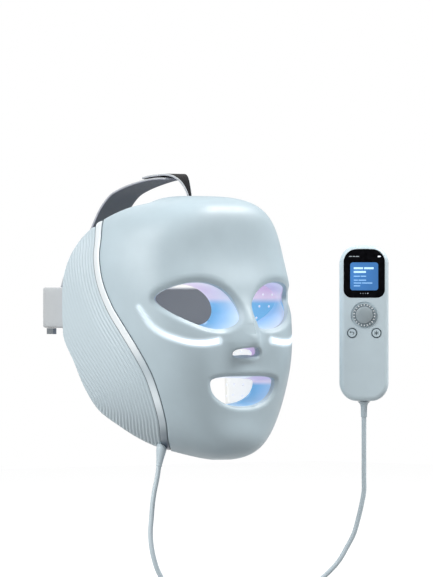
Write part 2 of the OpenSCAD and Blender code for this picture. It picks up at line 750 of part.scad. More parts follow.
// Strap anchors on the liner at both sides and behind the top rim
loop_x = half_w - side_thick - 0.7 - anchor_t - 0.2;
module strap_anchor() {
    translate([loop_x + 0.2, -24, strap_z - strap_w / 2])
        cube([anchor_t, 12, strap_w]);
}
module strap_anchor_left() { color(SILVER) strap_anchor(); }
module strap_anchor_right() { color(SILVER) mirror([1, 0, 0]) strap_anchor(); }
top_anchor_y = -0.492 * face_d;
module strap_anchor_top() {
    color(SILVER)
        translate([-13, top_anchor_y + 1, top_h - 5.4])
            cube([26, 3.2, 4]);
}

// Back strap: a flat loop behind the head, its ends inside the rim
function loop_point(f, inset) =
    [(loop_x - inset) * bend(cos(f), 0.9), loop_start + (loop_back - loop_start - inset) * bend(sin(f), 0.9)];
module back_strap() {
    steps = 24;
    front = -23;
    color(CLOTH)
        translate([0, 0, strap_z - strap_w / 2])
            linear_extrude(height = strap_w)
                polygon(concat(
                    [[loop_x, front]],
                    [for (k = [0:steps]) loop_point(k * 180 / steps, 0)],
                    [[-loop_x, front], [-loop_x + strap_t, front]],
                    [for (k = [steps:-1:0]) loop_point(k * 180 / steps, strap_t)],
                    [[loop_x - strap_t, front]]
                ));
}
module top_strap() { color(CLOTH) band(TOP_LINE, top_strap_t); }
module top_strap_tab() { color(DARK) band(TAB_LINE, top_strap_t); }
module strap_adjuster() {
    q = loop_point(158, strap_t / 2);
    way = loop_point(159, strap_t / 2) - q;
    color(DARK)
        translate([q.x, q.y, strap_z - strap_w / 2 - 0.3])
            rotate([0, 0, atan2(way.y, way.x)])
                translate([-7, -strap_t / 2, -5])
                    cube([14, strap_t, 5]);
}

// Hand controller: x to its right, -y to its front and z upwards, from its own middle
wall_y = hand_d / 2 - hand_wall;
window_z = hand_h / 2 - window_h / 2 - 3.3;
screen_z = window_z - 2.5;
dial_z = 6.8;
button_z = dial_z - 15;
dial_recess = 22.5;
dial_back = 1 - press_travel - 0.2 - hand_d / 2;
board_y = 5.4 - wall_y;
board_w = hand_w - 2 * hand_wall - 2;
carrier_d = dial_shaft_d + 3;
flange_d = button_d + 1.8;
socket_z = 31.5 - hand_h / 2;
post_x = hand_w / 2 - hand_wall - 5;
post_z = hand_h / 2 - 8.5;
screw_d = 1.9;
gland_neck_d = 6.6;

module in_hand() {
    translate(hand_at)
        rotate([0, 0, -view_turn])
            children();
}
// Turns a solid drawn upwards to point out of the controller's front
module to_front() { rotate([90, 0, 0]) children(); }
module half_body() {
    r = hand_r;
    e = hand_edge;
    h = hand_d / 2;
    hull()
        for (sx = [-1, 1]) {
            for (sz = [-1, 1]) {
                translate([sx * (hand_w / 2 - r), sz * (hand_h / 2 - r), 0])
                    rotate_extrude($fn = 32)
                        polygon(concat(
                            [[0, 0], [r, 0]],
                            [for (k = [0:3]) [r - e + e * cos(30 * k), h - e + e * sin(30 * k)]],
                            [[0, h]]
                        ));
            }
        }
}
module rounded(w, h, r) {
    square([w - 2 * r, h], center = true);
    square([w, h - 2 * r], center = true);
    for (sx = [-1, 1]) {
        for (sy = [-1, 1]) {
            translate([sx * (w / 2 - r), sy * (h / 2 - r)])
                circle(r);
        }
    }
}
module hollow() {
    translate([0, 0, -1])
        linear_extrude(height = wall_y + 1)
            rounded(hand_w - 2 * hand_wall, hand_h - 2 * hand_wall, hand_r - hand_wall);
}
module both_ways(x, z) {
    for (sx = [-1, 1]) {
        for (sz = [-1, 1]) {
            translate([sx * x, 0, sz * z])
                children();
        }
    }
}
// Slots through the wall that both halves share: the charging socket and the cord's neck
module shared_cuts() {
    translate([-hand_w / 2 - 1, board_y + 1.75, socket_z - 4.7])
        cube([hand_wall + 2, 3.6, 9.4]);
    translate([0, 0, -hand_h / 2 - 1])
        cylinder(d = gland_neck_d + 0.4, h = hand_wall + 2);
}

module front_housing() {
    color(SHELL)
        in_hand() {
            difference() {
                to_front()
                    half_body();
                to_front()
                    hollow();
                translate([0, -hand_d / 2 + 1.3, window_z])
                    to_front()
                        linear_extrude(height = 3)
                            rounded(window_w + 0.3, window_h + 0.3, 7.15);
                translate([-screen_w / 2 - 1, -hand_d, screen_z - screen_w / 2 - 1])
                    cube([screen_w + 2, hand_d, screen_w + 2]);
                translate([0, -hand_d / 2 + 1, dial_z])
                    to_front()
                        cylinder(d = dial_recess, h = 3);
                translate([0, 0, dial_z])
                    to_front()
                        cylinder(d = dial_shaft_d + 0.6, h = hand_d);
                for (s = [-1, 1]) {
                    translate([s * button_pitch / 2, 0, button_z])
                        to_front()
                            cylinder(d = button_d + 0.5, h = hand_d);
                }
                shared_cuts();
            }
            both_ways(post_x, post_z) {
                to_front()
                    difference() {
                        cylinder(d = 5.6, h = wall_y + 0.1);
                        translate([0, 0, -1])
                            cylinder(d = screw_d + 0.1, h = 7);
                    }
            }
        }
}
module back_cover() {
    color(SHELL)
        in_hand()
            difference() {
                union() {
                    difference() {
                        rotate([-90, 0, 0])
                            half_body();
                        rotate([-90, 0, 0])
                            hollow();
                        shared_cuts();
                    }
                    both_ways(post_x, post_z) {
                        rotate([-90, 0, 0])
                            cylinder(d = 5.6, h = wall_y + 0.1);
                    }
                    both_ways(post_x, post_z - 12) {
                        translate([0, board_y + 1.9, 0])
                            rotate([-90, 0, 0])
                                cylinder(d = 4, h = wall_y - board_y - 1.8);
                    }
                }
                both_ways(post_x, post_z) {
                    rotate([-90, 0, 0])
                        translate([0, 0, -1])
                            cylinder(d = screw_d + 0.7, h = hand_d);
                    translate([0, hand_d / 2 - 1.8, 0])
                        rotate([-90, 0, 0])
                            cylinder(d = 4.6, h = 3);
                }
            }
}
module housing_screws() {
    color(METAL)
        in_hand()
            both_ways(post_x, post_z) {
                translate([0, hand_d / 2 - 0.3, 0])
                    to_front()
                        difference() {
                            union() {
                                cylinder(d = 4.2, h = 1.45);
                                cylinder(d = screw_d, h = hand_d / 2 + 4);
                            }
                            translate([-0.3, -1.5, -1])
                                cube([0.6, 3, 1.6]);
                        }
            }
}
module display_window() {
    color(GLASS)
        in_hand()
            translate([0, -hand_d / 2 + 1.25, window_z])
                to_front()
                    linear_extrude(height = 1.2)
                        rounded(window_w, window_h, 7);
}
module display_panel() {
    color("#2f6fb5")
        in_hand()
            translate([0, -wall_y + 0.25, screen_z])
                to_front()
                    mirror([0, 0, 1])
                        linear_extrude(height = 1.8)
                            square([screen_w + 4, screen_w + 4], center = true);
}
module main_board() {
    color(BOARD)
        in_hand()
            translate([-board_w / 2, board_y, -hand_h / 2 + 15.5])
                cube([board_w, 1.6, hand_h - 31]);
}
module battery_cell() {
    color(METAL)
        in_hand()
            translate([-15, wall_y - 5.3, -30])
                cube([30, 5, 58]);
}
module encoder_body() {
    color(DARK)
        in_hand()
            translate([0, board_y - 0.3, dial_z])
                to_front()
                    difference() {
                        translate([-6.5, -6.5, 0])
                            cube([13, 13, 4.6]);
                        translate([0, 0, -1])
                            cylinder(d = carrier_d + 2 * run_gap, h = 7);
                    }
}
module encoder_carrier() {
    color(METAL)
        in_hand()
            translate([0, board_y - 0.3 - press_travel, dial_z])
                to_front()
                    difference() {
                        cylinder(d = carrier_d, h = 3.8);
                        translate([0, 0, -1])
                            cylinder(d = dial_shaft_d + 2 * run_gap, h = 6);
                    }
}
module dial_knob() {
    rise = 2.4;
    shaft_l = board_y - 0.3 - press_travel - dial_back;
    color(SHELL)
        in_hand()
            translate([0, dial_back, dial_z])
                to_front() {
                    difference() {
                        cylinder(d = dial_d, h = rise);
                        for (k = [0:dial_notches - 1]) {
                            rotate([0, 0, k * 360 / dial_notches])
                                translate([dial_d / 2 + 0.25, 0, -1])
                                    cylinder(r = 0.75, h = rise + 2);
                        }
                    }
                    rotate_extrude()
                        polygon([[0, 0], [dial_cap_d / 2, 0], [dial_cap_d / 2, rise + 0.7],
                                 [dial_cap_d / 2 - 0.5, rise + 1.2], [0, rise + 1.2]]);
                    translate([0, 0, -shaft_l])
                        cylinder(d = dial_shaft_d, h = shaft_l + 1);
                }
}

module button(side) {
    color(SHELL)
        in_hand()
            translate([side * button_pitch / 2, 1 - wall_y, button_z])
                to_front() {
                    cylinder(d = flange_d, h = 0.7);
                    cylinder(d = button_d, h = hand_wall + 1.4);
                }
}
module back_button() { button(-1); }
module cool_button() { button(1); }
module button_switches() {
    nub = wall_y - 1 + board_y - 0.3 - press_travel - 0.2;
    color(DARK)
        in_hand()
            for (s = [-1, 1]) {
                translate([s * button_pitch / 2, board_y - 0.3, button_z])
                    to_front() {
                        translate([-3, -3, 0])
                            cube([6, 6, nub - 0.5]);
                        cylinder(d = 3, h = nub);
                    }
            }
}
module charge_socket() {
    color(METAL)
        in_hand()
            translate([-hand_w / 2 + 0.2, board_y + 1.9, socket_z])
                difference() {
                    translate([0, 0, -4.5])
                        cube([7.8, 3.2, 9]);
                    difference() {
                        translate([-1, 0.35, -4.1])
                            cube([7.5, 2.5, 8.2]);
                        translate([1, 1.3, -3])
                            cube([7, 0.6, 6]);
                    }
                }
}
module hand_gland() {
    b = -hand_h / 2;
    color(SHELL)
        in_hand()
            rotate_extrude()
                polygon([
                    [0, b + 3.5], [4.5, b + 3.5], [4.5, b + 2.3], [gland_neck_d / 2, b + 2.3],
                    [gland_neck_d / 2, b - 0.3], [4.85, b - 0.3], [4.85, b - 1.8],
                    [3.2, b - 7], [cord_d / 2 + 0.6, b - 13.5], [0, b - 13.5]
                ]);
}

// Cord: a straight-ended tube from gland to coil, the coil, and the rise to the controller
mask_way = [1, 0, 0];
hand_way = [cos(coil_end), -sin(coil_end), 0];
module cord_mask_run() {
    color(SHELL)
        tube(MASK_ROUTE, gland_way, mask_way, cord_d, 8);
}
module cord_hand_run() {
    color(SHELL)
        tube(HAND_ROUTE, hand_way, [0, 0, 1], cord_d, 8);
}
coil_turns = 2 * coil_in + 0.5 + coil_end / 360;
function coil_point(s) =
    let (
        climb = limit((s - coil_in) / 0.5, 0, 1),
        r = coil_r - coil_step * (min(s, coil_in) - max(s - coil_in - 0.5, 0)) - 0.8 * sin(180 * climb),
        a = 90 - 360 * s
    )
    [coil_at.x + r * cos(a), coil_at.y + r * sin(a), coil_low + coil_lift * ease(climb)];
module cord_coil() {
    steps = round(24 * coil_turns);
    turns = [for (k = [0:steps]) coil_point(k * coil_turns / steps)];
    apart = [for (i = [0:steps - 8]) for (j = [i + 8:steps]) norm(turns[i] - turns[j])];
    echo(least_gap_in_the_coil = min(apart) - cord_d);
    color(SHELL)
        tube(concat([MASK_ROUTE[len(MASK_ROUTE) - 1]], turns, [HAND_ROUTE[0]]),
             mask_way, hand_way, cord_d, 6);
}
module cord_tie() {
    near = 13.7;
    far = 28.1;
    low = coil_low - cord_d / 2 - 0.5;
    high = coil_low + coil_lift + cord_d / 2 + 0.5;
    color(DARK)
        translate([coil_at.x, coil_at.y, 0])
            rotate([0, 0, -90])
                difference() {
                    translate([near - 1.2, -2, low - 1.2])
                        cube([far - near + 2.4, 4, high - low + 2.4]);
                    translate([near, -3, low])
                        cube([far - near, 6, high - low]);
                }
}

front_shell();
side_panel_right();
side_panel_left();
trim_band_right();
trim_band_left();
inner_liner();
light_board_brow();
light_board_right();
light_board_left();
light_board_chin();
light_chips();
light_guide_right();
light_guide_left();
cold_plate_right();
cold_plate_left();
cooler_chip_right();
cooler_chip_left();
heat_strap_right();
heat_strap_left();
heat_sink_right();
heat_sink_left();
fan_frame_right();
fan_frame_left();
fan_rotor_right();
fan_rotor_left();
control_board();
cord_gland();
strap_anchor_right();
strap_anchor_left();
strap_anchor_top();
back_strap();
top_strap();
top_strap_tab();
strap_adjuster();
front_housing();
back_cover();
display_window();
display_panel();
main_board();
battery_cell();
encoder_body();
encoder_carrier();
dial_knob();
back_button();
cool_button();
button_switches();
charge_socket();
housing_screws();
hand_gland();
cord_mask_run();
cord_coil();
cord_hand_run();
cord_tie();
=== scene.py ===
import json
import math

import bmesh
import bpy
import numpy as np
from bpy.props import FloatProperty, FloatVectorProperty, IntProperty, PointerProperty
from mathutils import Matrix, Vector


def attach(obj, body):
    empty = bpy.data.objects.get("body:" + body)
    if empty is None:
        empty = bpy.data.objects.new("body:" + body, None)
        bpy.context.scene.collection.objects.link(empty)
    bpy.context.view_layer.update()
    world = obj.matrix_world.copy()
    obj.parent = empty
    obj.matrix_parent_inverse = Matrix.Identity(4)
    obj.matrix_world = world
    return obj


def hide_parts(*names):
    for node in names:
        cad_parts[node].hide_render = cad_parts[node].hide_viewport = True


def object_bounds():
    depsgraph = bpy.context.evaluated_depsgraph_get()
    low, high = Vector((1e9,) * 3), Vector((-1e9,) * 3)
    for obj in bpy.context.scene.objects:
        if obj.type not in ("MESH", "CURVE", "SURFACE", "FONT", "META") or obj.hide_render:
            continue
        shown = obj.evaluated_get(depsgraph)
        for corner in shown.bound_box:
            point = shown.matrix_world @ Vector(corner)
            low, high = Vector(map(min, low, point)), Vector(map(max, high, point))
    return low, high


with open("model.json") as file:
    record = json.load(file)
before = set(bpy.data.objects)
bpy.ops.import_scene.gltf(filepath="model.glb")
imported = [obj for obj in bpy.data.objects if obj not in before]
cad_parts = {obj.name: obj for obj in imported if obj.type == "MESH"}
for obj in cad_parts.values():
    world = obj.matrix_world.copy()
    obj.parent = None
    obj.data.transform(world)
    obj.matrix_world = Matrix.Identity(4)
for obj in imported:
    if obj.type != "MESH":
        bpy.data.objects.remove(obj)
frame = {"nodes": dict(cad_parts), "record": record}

bl_info = {
    "name": "Light face mask",
    "version": (1, 0, 0),
    "blender": (4, 5, 0),
    "location": "3D View > Sidebar > Light mask",
    "description": "Dresses the packed face mask, its straps, cord and hand controller",
    "category": "Object",
}

MM = 0.001
ROOT = "mask_and_controller"
CAD_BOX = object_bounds()


def length(name, about, default):
    """A size in metres."""
    return FloatProperty(
        name=name, description=about, default=default, min=0.0, precision=5, unit="LENGTH"
    )


def paint(name, about, code):
    """A colour, given as it shows on a screen."""
    return FloatVectorProperty(
        name=name, description=about, default=linear(code), size=3, min=0.0, max=1.0, subtype="COLOR"
    )


def linear(code):
    """The linear colour of a hexadecimal one."""
    parts = [int(code[k:k + 2], 16) / 255 for k in (1, 3, 5)]
    return [c / 12.92 if c <= 0.04045 else ((c + 0.055) / 1.055) ** 2.4 for c in parts]


class MaskSizes(bpy.types.PropertyGroup):
    """Sizes of the mask's shells, openings and trim"""

    half_w: length("Half width", "Half of the mask's widest width", 0.089)
    top_h: length("Top", "Top edge above the eye line", 0.0896)
    chin_h: length("Chin", "Chin below the eye line", 0.1312)
    face_d: length("Depth", "Bridge of the nose ahead of the rear rim", 0.130)
    brow_back: length("Brow back", "How far the forehead lies behind the bridge", 0.0125)
    jaw_back: length("Jaw back", "How far the chin lies behind the bridge", 0.004)
    shell_t: length("Shell wall", "Wall of the outer shells", 0.002)
    front_thick: length("Front thickness", "Outer face to inner face at the front", 0.006)
    side_thick: length("Side thickness", "Outer face to inner face at the sides", 0.0125)
    liner_t: length("Liner wall", "Wall of the inner liner", 0.0018)
    nose_proud: length("Nose", "Height of the nose above the face", 0.014)
    eye_w: length("Eye width", "Width of an eye opening", 0.067)
    eye_h: length("Eye height", "Height of an eye opening", 0.0385)
    eye_x: length("Eye place", "Middle of an eye opening from the centre plane", 0.0423)
    nostril_w: length("Nostril width", "Width of the nostril opening", 0.031)
    nostril_h: length("Nostril height", "Height of the nostril opening", 0.0092)
    nostril_drop: length("Nostril drop", "Nostril opening below the eye line", 0.042)
    mouth_w: length("Mouth width", "Width of the mouth opening", 0.073)
    mouth_h: length("Mouth height", "Height of the mouth opening", 0.0264)
    mouth_drop: length("Mouth drop", "Mouth corners below the eye line", 0.0665)
    lip_t: length("Lip wall", "Wall of the lip round each opening", 0.0015)
    trim_w: length("Trim width", "Width of the trim band", 0.007)
    seam_gap: length("Seam", "Gap along each seam between the outer shells", 0.0004)
    rib_pitch: length("Rib pitch", "Distance from one rib to the next", 0.0034)
    rib_h: length("Rib height", "Height of a rib above its groove", 0.0007)
    dot_pitch: length("Light pitch", "Distance between the small lenses of the liner", 0.0115)
    dot_d: length("Light width", "Diameter of a small lens", 0.0021)
    roll: length("Opening edge", "Width of the sloped edge round an opening", 0.0036)
    plan_power: FloatProperty(
        name="Roundness", description="Roundness of a level section, where 2 is an ellipse", default=3.5
    )


class StrapSizes(bpy.types.PropertyGroup):
    """Sizes of the straps and of the cord"""

    strap_w: length("Strap width", "Width of the straps", 0.034)
    strap_t: length("Back strap", "Thickness of the back strap", 0.003)
    loop_back: length("Loop reach", "Reach of the back strap behind the rim", 0.0875)
    top_strap_t: length("Top strap", "Thickness of the top strap", 0.0018)
    cord_d: length("Cord", "Diameter of the cord", 0.004)


class HandSizes(bpy.types.PropertyGroup):
    """Sizes of the hand controller"""

    hand_w: length("Width", "Width of the controller", 0.041)
    hand_h: length("Height", "Height of the controller", 0.131)
    hand_d: length("Depth", "Depth of the controller", 0.020)
    hand_r: length("Corners", "Corner radius of its outline", 0.011)
    hand_edge: length("Edges", "Rounding of its edges", 0.0044)
    hand_wall: length("Wall", "Wall of its housing", 0.002)
    window_w: length("Window width", "Width of the display window", 0.0344)
    window_h: length("Window height", "Height of the display window", 0.0408)
    screen_w: length("Screen", "Lit square of the display", 0.0234)
    dial_cap_d: length("Dial cap", "Diameter of the dial's smooth cap", 0.0144)
    dial_d: length("Dial ring", "Diameter of the dial's notched ring", 0.0194)
    button_d: length("Button", "Diameter of a button", 0.0084)
    button_pitch: length("Button pitch", "Distance between the two buttons", 0.0204)
    dial_notches: IntProperty(name="Notches", description="Notches round the dial", default=22, min=8)


class MaskColours(bpy.types.PropertyGroup):
    """Colours of the finishes, as they show"""

    shell: paint("Shell", "Satin plastic of the front shell", "#B9CAD2")
    panel: paint("Side panels", "Satin plastic of the ribbed side panels", "#C6D5DC")
    trim: paint("Trim", "Polished paint of the trim bands", "#EEF4F7")
    # Colour of the painted dark reflection at the trim's lower end, towards the chin
    trim_dark_reflection: paint("Trim at the chin", "The trim's darker paint at its lower end", "#3D4A5E")
    pink: paint("Warm light", "Light that the liner shows above", "#D2BCE0")
    blue: paint("Cool light", "Light that the liner shows below", "#7ABDEA")
    glow: paint("Under-eye light", "Light of the strips under the eyes", "#EAF4FF")
    cloth: paint("Strap", "Outer face and edges of the straps", "#CCD1D4")
    web: paint("Strap lining", "Inner face of the straps", "#77817D")
    hand: paint("Controller", "Satin plastic of the hand controller", "#D1E1E8")
    screen: paint("Screen", "Lit ground of the display", "#3C79BB")
    mark: paint("Marks", "Small symbols on the buttons", "#3F4F58")
    cord: paint("Cord", "Jacket of the cord", "#C2D0D7")


def in_mm(group):
    """The group's sizes in millimetres, and its plain numbers as they are."""
    values = {}
    for key, p in group.bl_rna.properties.items():
        if p.type in ("FLOAT", "INT"):
            value = getattr(group, key)
            values[key] = value / MM if getattr(p, "unit", "NONE") == "LENGTH" else value
    return type("Sizes", (), values)


# Small helpers on arrays

def power(b, e):
    """b to the power e, and nothing where b is below zero."""
    return np.where(np.asarray(b) > 0, np.abs(b), 0.0) ** e


def bend(v, e):
    """v to the power e, with the sign that it had."""
    return np.sign(v) * np.abs(v) ** e


def hill(v, w):
    """A bell of height 1 round zero."""
    return np.exp(-((v / w) ** 2))


def ease(v):
    """A smooth step from 0 to 1."""
    c = np.clip(v, 0, 1)
    return c * c * (3 - 2 * c)


def mix(a, b, t):
    """From a, where t is 0, to b, where it is 1."""
    return a + (b - a) * t


def unit(v):
    """Directions, each of length 1."""
    return v / np.linalg.norm(v, axis=-1, keepdims=True)


def sind(a):
    """Sine of degrees."""
    return np.sin(np.radians(a))


def cosd(a):
    """Cosine of degrees."""
    return np.cos(np.radians(a))


def through(points, x):
    """Smooth curve through points that never swings past them."""
    px, py = np.array(points, float).T
    rise, run = np.diff(py), np.diff(px)
    slope = np.zeros(len(px))
    turns = rise[:-1] * rise[1:] > 0
    slope[1:-1] = np.where(turns, (py[2:] - py[:-2]) / (px[2:] - px[:-2]), 0)
    k = np.clip(np.searchsorted(px, x, side="right") - 1, 0, len(px) - 2)
    h = run[k]
    t = np.clip((x - px[k]) / h, 0, 1)
    return (
        py[k] * (1 + 2 * t) * (1 - t) ** 2
        + slope[k] * h * t * (1 - t) ** 2
        + py[k + 1] * t * t * (3 - 2 * t)
        + slope[k + 1] * h * t * t * (t - 1)
    )


def nearest(points, line):
    """Distance from each point to the nearest point of a dense line."""
    flat = points.reshape(-1, 3)
    found = np.full(len(flat), 1e9)
    for part in np.array_split(line, max(1, len(line) // 60)):
        gap = np.linalg.norm(flat[:, None, :] - part[None, :, :], axis=2)
        found = np.minimum(found, gap.min(axis=1))
    return found.reshape(points.shape[:-1])


# The mask's surface, as the solids have it

RIM_LINE = [
    (-1, 0.77), (-0.98, 0.73), (-0.945, 0.635), (-0.92, 0.55), (-0.86, 0.446), (-0.78, 0.34),
    (-0.69, 0.223), (-0.55, 0.148), (-0.38, 0.085), (-0.19, 0), (0.13, 0), (0.32, 0.023),
    (0.5, 0.077), (0.65, 0.152), (0.79, 0.262), (0.89, 0.385), (0.94, 0.492), (1, 0.492),
]
TRIM_LINE = [
    (-1, 26.4), (-0.94, 27.9), (-0.86, 30.9), (-0.74, 33), (-0.58, 36.2), (-0.44, 39.6),
    (-0.29, 44.8), (-0.17, 49.8), (-0.02, 56.6), (0.2, 62.2), (0.42, 65), (0.6, 65.6),
    (0.76, 68), (0.9, 70.5),
]
GUIDE_LINE = [
    (39.2, -2, 2), (37.4, -9, 2.8), (35.1, -16.5, 3.6), (31.6, -22, 4.2), (27, -26, 4.6),
    (19, -29.8, 5), (11.7, -31.5, 5.4), (3, -31.9, 5.7), (-5, -31.2, 5.9), (-12.8, -30, 6),
]
EYE_Z = -1.0
RIM_GAP = 0.7
LIP_GAP = 0.8
HALF_COLS = 12
EYE, NOSTRILS, MOUTH, PLATE = range(4)
SHELL_HOLES = [(EYE, 1, 8, 10, 16), (NOSTRILS, -2, 2, 20, 22), (MOUTH, -6, 6, 24, 28)]
LINER_HOLES = [(EYE, 1, 6, 10, 16), (NOSTRILS, -2, 2, 20, 22), (MOUTH, -4, 4, 24, 28), (PLATE, 2, 5, 17, 19)]
PLATE_L, PLATE_H, PLATE_GAP = 40.0, 9.5, 0.4
MEET_STEPS = 12


class Face:
    """The mask's outer surface and the lines on it, in millimetres and degrees."""

    def __init__(self, sizes):
        s = self.s = sizes
        self.nose_root = 0.134 * s.top_h
        self.nose_tip = -0.244 * s.chin_h
        self.nose_base = -0.4 * s.chin_h
        self.relief = 0.023 * s.face_d
        self.rim_points = [(z * (s.top_h if z > 0 else s.chin_h), y * s.face_d) for z, y in RIM_LINE]
        self.trim_points = [(z * (s.top_h if z > 0 else s.chin_h), a) for z, a in TRIM_LINE]
        self.seam_w = s.trim_w / 2 + s.seam_gap
        self.shell_top = self.upper_end(self.seam_w, -1, 0)
        self.shell_low = self.lower_end(self.seam_w, -1, 0)
        eye_up = EYE_Z + 0.46 * s.eye_h
        eye_low = EYE_Z - 0.42 * s.eye_h
        nose_up = 0.4 * s.nostril_h - s.nostril_drop
        nose_low = -0.4 * s.nostril_h - s.nostril_drop
        mouth_up = 0.2 * s.mouth_h - s.mouth_drop
        mouth_low = -0.68 * s.mouth_h - s.mouth_drop
        self.plate_x = 0.45 * s.half_w
        self.plate_z = mix(eye_low, nose_up, 0.54)
        self.levels = np.array(
            [t * s.top_h for t in (0.9989, 0.997, 0.99, 0.972, 0.94, 0.89)]
            + [mix(self.shell_top, eye_up, t) for t in (0, 0.22, 0.45, 0.72, 1)]
            + [mix(eye_up, eye_low, k / 6) for k in range(1, 7)]
            + [self.plate_z + k * PLATE_H / 2 for k in (1, 0, -1)]
            + [nose_up, -s.nostril_drop, nose_low, (nose_low + mouth_up) / 2]
            + [mix(mouth_up, mouth_low, k / 4) for k in range(5)]
            + [mix(mouth_low, self.shell_low, t) for t in (0.24, 0.48, 0.7, 0.88, 1)]
            + [-t * s.chin_h for t in (0.968, 0.986, 0.9955)]
        )
        self.last_row = len(self.levels) - 1

    def wide(self, z):
        """Half of the mask's width at a height."""
        s = self.s
        up = power(1 - power(z / s.top_h, 3), 1 / 3)
        down = power(1 - power(-z / s.chin_h, 2.5), 1 / 2.5)
        return s.half_w * np.where(z > 0, up, down)

    def deep(self, z):
        """How far the plain face lies ahead of the rear rim at a height."""
        s = self.s
        up = s.face_d - s.brow_back * (1 - hill(z, s.top_h / 3))
        up = up * power(1 - power(z / s.top_h, 9), 1 / 9)
        down = (s.face_d - s.jaw_back * (z / s.chin_h) ** 2) * power(1 - power(-z / s.chin_h, 14), 1 / 14)
        return np.where(z > 0, up, down)

    def nose(self, x, z):
        """Height of the nose over the plain face."""
        s = self.s
        t = np.clip((self.nose_root - z) / (self.nose_root - self.nose_tip), 0, 1)
        fall = ease((z - self.nose_base) / (self.nose_tip - self.nose_base))
        along = np.where(z > self.nose_tip, ease(t), fall)
        return s.nose_proud * hill(x, s.half_w * (0.08 + 0.07 * t)) * along

    def bump(self, x, z):
        """The nose, the cheek, the lips and the chin over the plain face, and the hollow at the eye."""
        s, r = self.s, self.relief
        cheek = hill(x - 0.56 * s.half_w, 0.27 * s.half_w) * hill(z + 0.34 * s.chin_h, 0.2 * s.chin_h)
        lips = hill(x, 0.34 * s.half_w) * hill(z + 0.55 * s.chin_h, 0.12 * s.chin_h)
        chin = hill(x, 0.3 * s.half_w) * hill(z + 0.855 * s.chin_h, 0.11 * s.chin_h)
        hollow = hill(x - s.eye_x, 0.36 * s.half_w) * hill(z - EYE_Z, 0.2 * s.top_h)
        return self.nose(x, z) + r * cheek + r * lips + r * chin - 0.8 * r * hollow

    def skin(self, a, z):
        """The point of the surface at an angle round from straight ahead and a height."""
        a, z = np.broadcast_arrays(np.asarray(a, float), np.asarray(z, float))
        p, t = self.s.plan_power, np.abs(a)
        r = (power(sind(t) / self.wide(z), p) + power(cosd(t) / self.deep(z), p)) ** (-1 / p)
        x = r * sind(t)
        return np.stack([np.sign(a) * x, -r * cosd(t) - self.bump(x, z), z], axis=-1)

    def inside(self, q):
        """Below 1 inside the surface, 1 on it and above 1 outside."""
        p = self.s.plan_power
        x, y, z = np.abs(q[..., 0]), q[..., 1], q[..., 2]
        ahead = np.maximum(-y - self.bump(x, z), 0)
        return power(x / self.wide(z), p) + power(ahead / self.deep(z), p)

    def outward(self, q):
        """Directions square to the surface, out of it."""
        e = 0.02
        steps = np.eye(3) * e
        return unit(np.stack([self.inside(q + d) - self.inside(q - d) for d in steps], axis=-1))

    def under(self, a, z, depth):
        """The point that lies depth under the surface."""
        q = self.skin(a, z)
        return q - np.asarray(depth)[..., None] * self.outward(q)

    def angle_at(self, x, z):
        """The angle at which the surface has this x at a height."""
        p = self.s.plan_power
        ahead = self.deep(z) * power(1 - power(np.abs(x) / self.wide(z), p), 1 / p)
        return np.degrees(np.arctan2(x, ahead))

    def angle_back(self, d, z):
        """The angle at which the surface lies d ahead of the rear rim's plane."""
        p = self.s.plan_power
        beside = self.wide(z) * power(1 - power(d / self.deep(z), p), 1 / p)
        return np.degrees(np.arctan2(beside, d))

    def rim_y(self, z):
        """How far the rear rim lies ahead of its plane at a height."""
        return through(self.rim_points, z)

    def rim_angle(self, z):
        """The angle of the rear rim at a height."""
        return self.angle_back(self.rim_y(z), z)

    def trim_angle(self, z):
        """The angle of the trim's middle at a height."""
        return through(self.trim_points, z)

    def trim_turn(self, z, w):
        """The turn that crosses w of the surface, square to the trim, at a height."""
        a = self.trim_angle(z)
        across = self.skin(a + 0.5, z) - self.skin(a - 0.5, z)
        upper, lower = z + 0.5, z - 0.5
        along = self.skin(self.trim_angle(upper), upper) - self.skin(self.trim_angle(lower), lower)
        return w * np.linalg.norm(along, axis=-1) / np.linalg.norm(np.cross(across, along), axis=-1)

    def room(self, z, w, side, spare):
        """Degrees between the rear rim and an edge that lies w beside the trim's line."""
        return self.rim_angle(z) - self.trim_angle(z) - side * self.trim_turn(z, w) - spare

    def meet(self, w, side, spare, near, far):
        """The height, between near and far, where that room ends."""
        for _ in range(MEET_STEPS):
            m = np.float64((near + far) / 2)
            if self.room(m, w, side, spare) > 0:
                near = m
            else:
                far = m
        return near

    def upper_end(self, w, side, spare):
        """Where an edge beside the trim meets the rim above."""
        return self.meet(w, side, spare, 0.5 * self.s.top_h, 0.9 * self.s.top_h)

    def lower_end(self, w, side, spare):
        """Where an edge beside the trim meets the rim below."""
        return self.meet(w, side, spare, -0.8 * self.s.chin_h, -0.98 * self.s.chin_h)

    def shell_angle(self, z):
        """The angle at which the front shell ends."""
        rim = self.rim_angle(z)
        ended = (z >= self.shell_top) | (z <= self.shell_low)
        seam = self.trim_angle(z) - self.trim_turn(z, self.seam_w)
        return np.where(ended, rim, np.minimum(rim, seam))

    def hole_edge(self, kind, f, e):
        """Outline of an opening seen from ahead, from above round to the side, grown by e."""
        s = self.s
        if kind == EYE:
            w, h = s.eye_w / 2 + e, s.eye_h / 2 + e
            x = s.eye_x + w * cosd(f) + 0.26 * h * sind(f)
            return x, EYE_Z + h * sind(f) * (1 - 0.22 * cosd(f)) + 0.13 * h * cosd(f)
        if kind == NOSTRILS:
            height = (s.nostril_h / 2 + e) * bend(sind(f), 0.8) - s.nostril_drop
            return (s.nostril_w / 2 + e) * bend(cosd(f), 0.8), height
        if kind == MOUTH:
            upper = (0.24 * s.mouth_h + e) * power(sind(f), 0.6)
            lower = (0.76 * s.mouth_h + e) * sind(f)
            height = np.where(sind(f) > 0, upper, lower) - s.mouth_drop
            return (s.mouth_w / 2 + e) * bend(cosd(f), 0.9), height
        x = self.plate_x + PLATE_L / 2 * np.clip(1.42 * cosd(f), -1, 1)
        return x, self.plate_z + PLATE_H / 2 * np.clip(1.42 * sind(f), -1, 1)

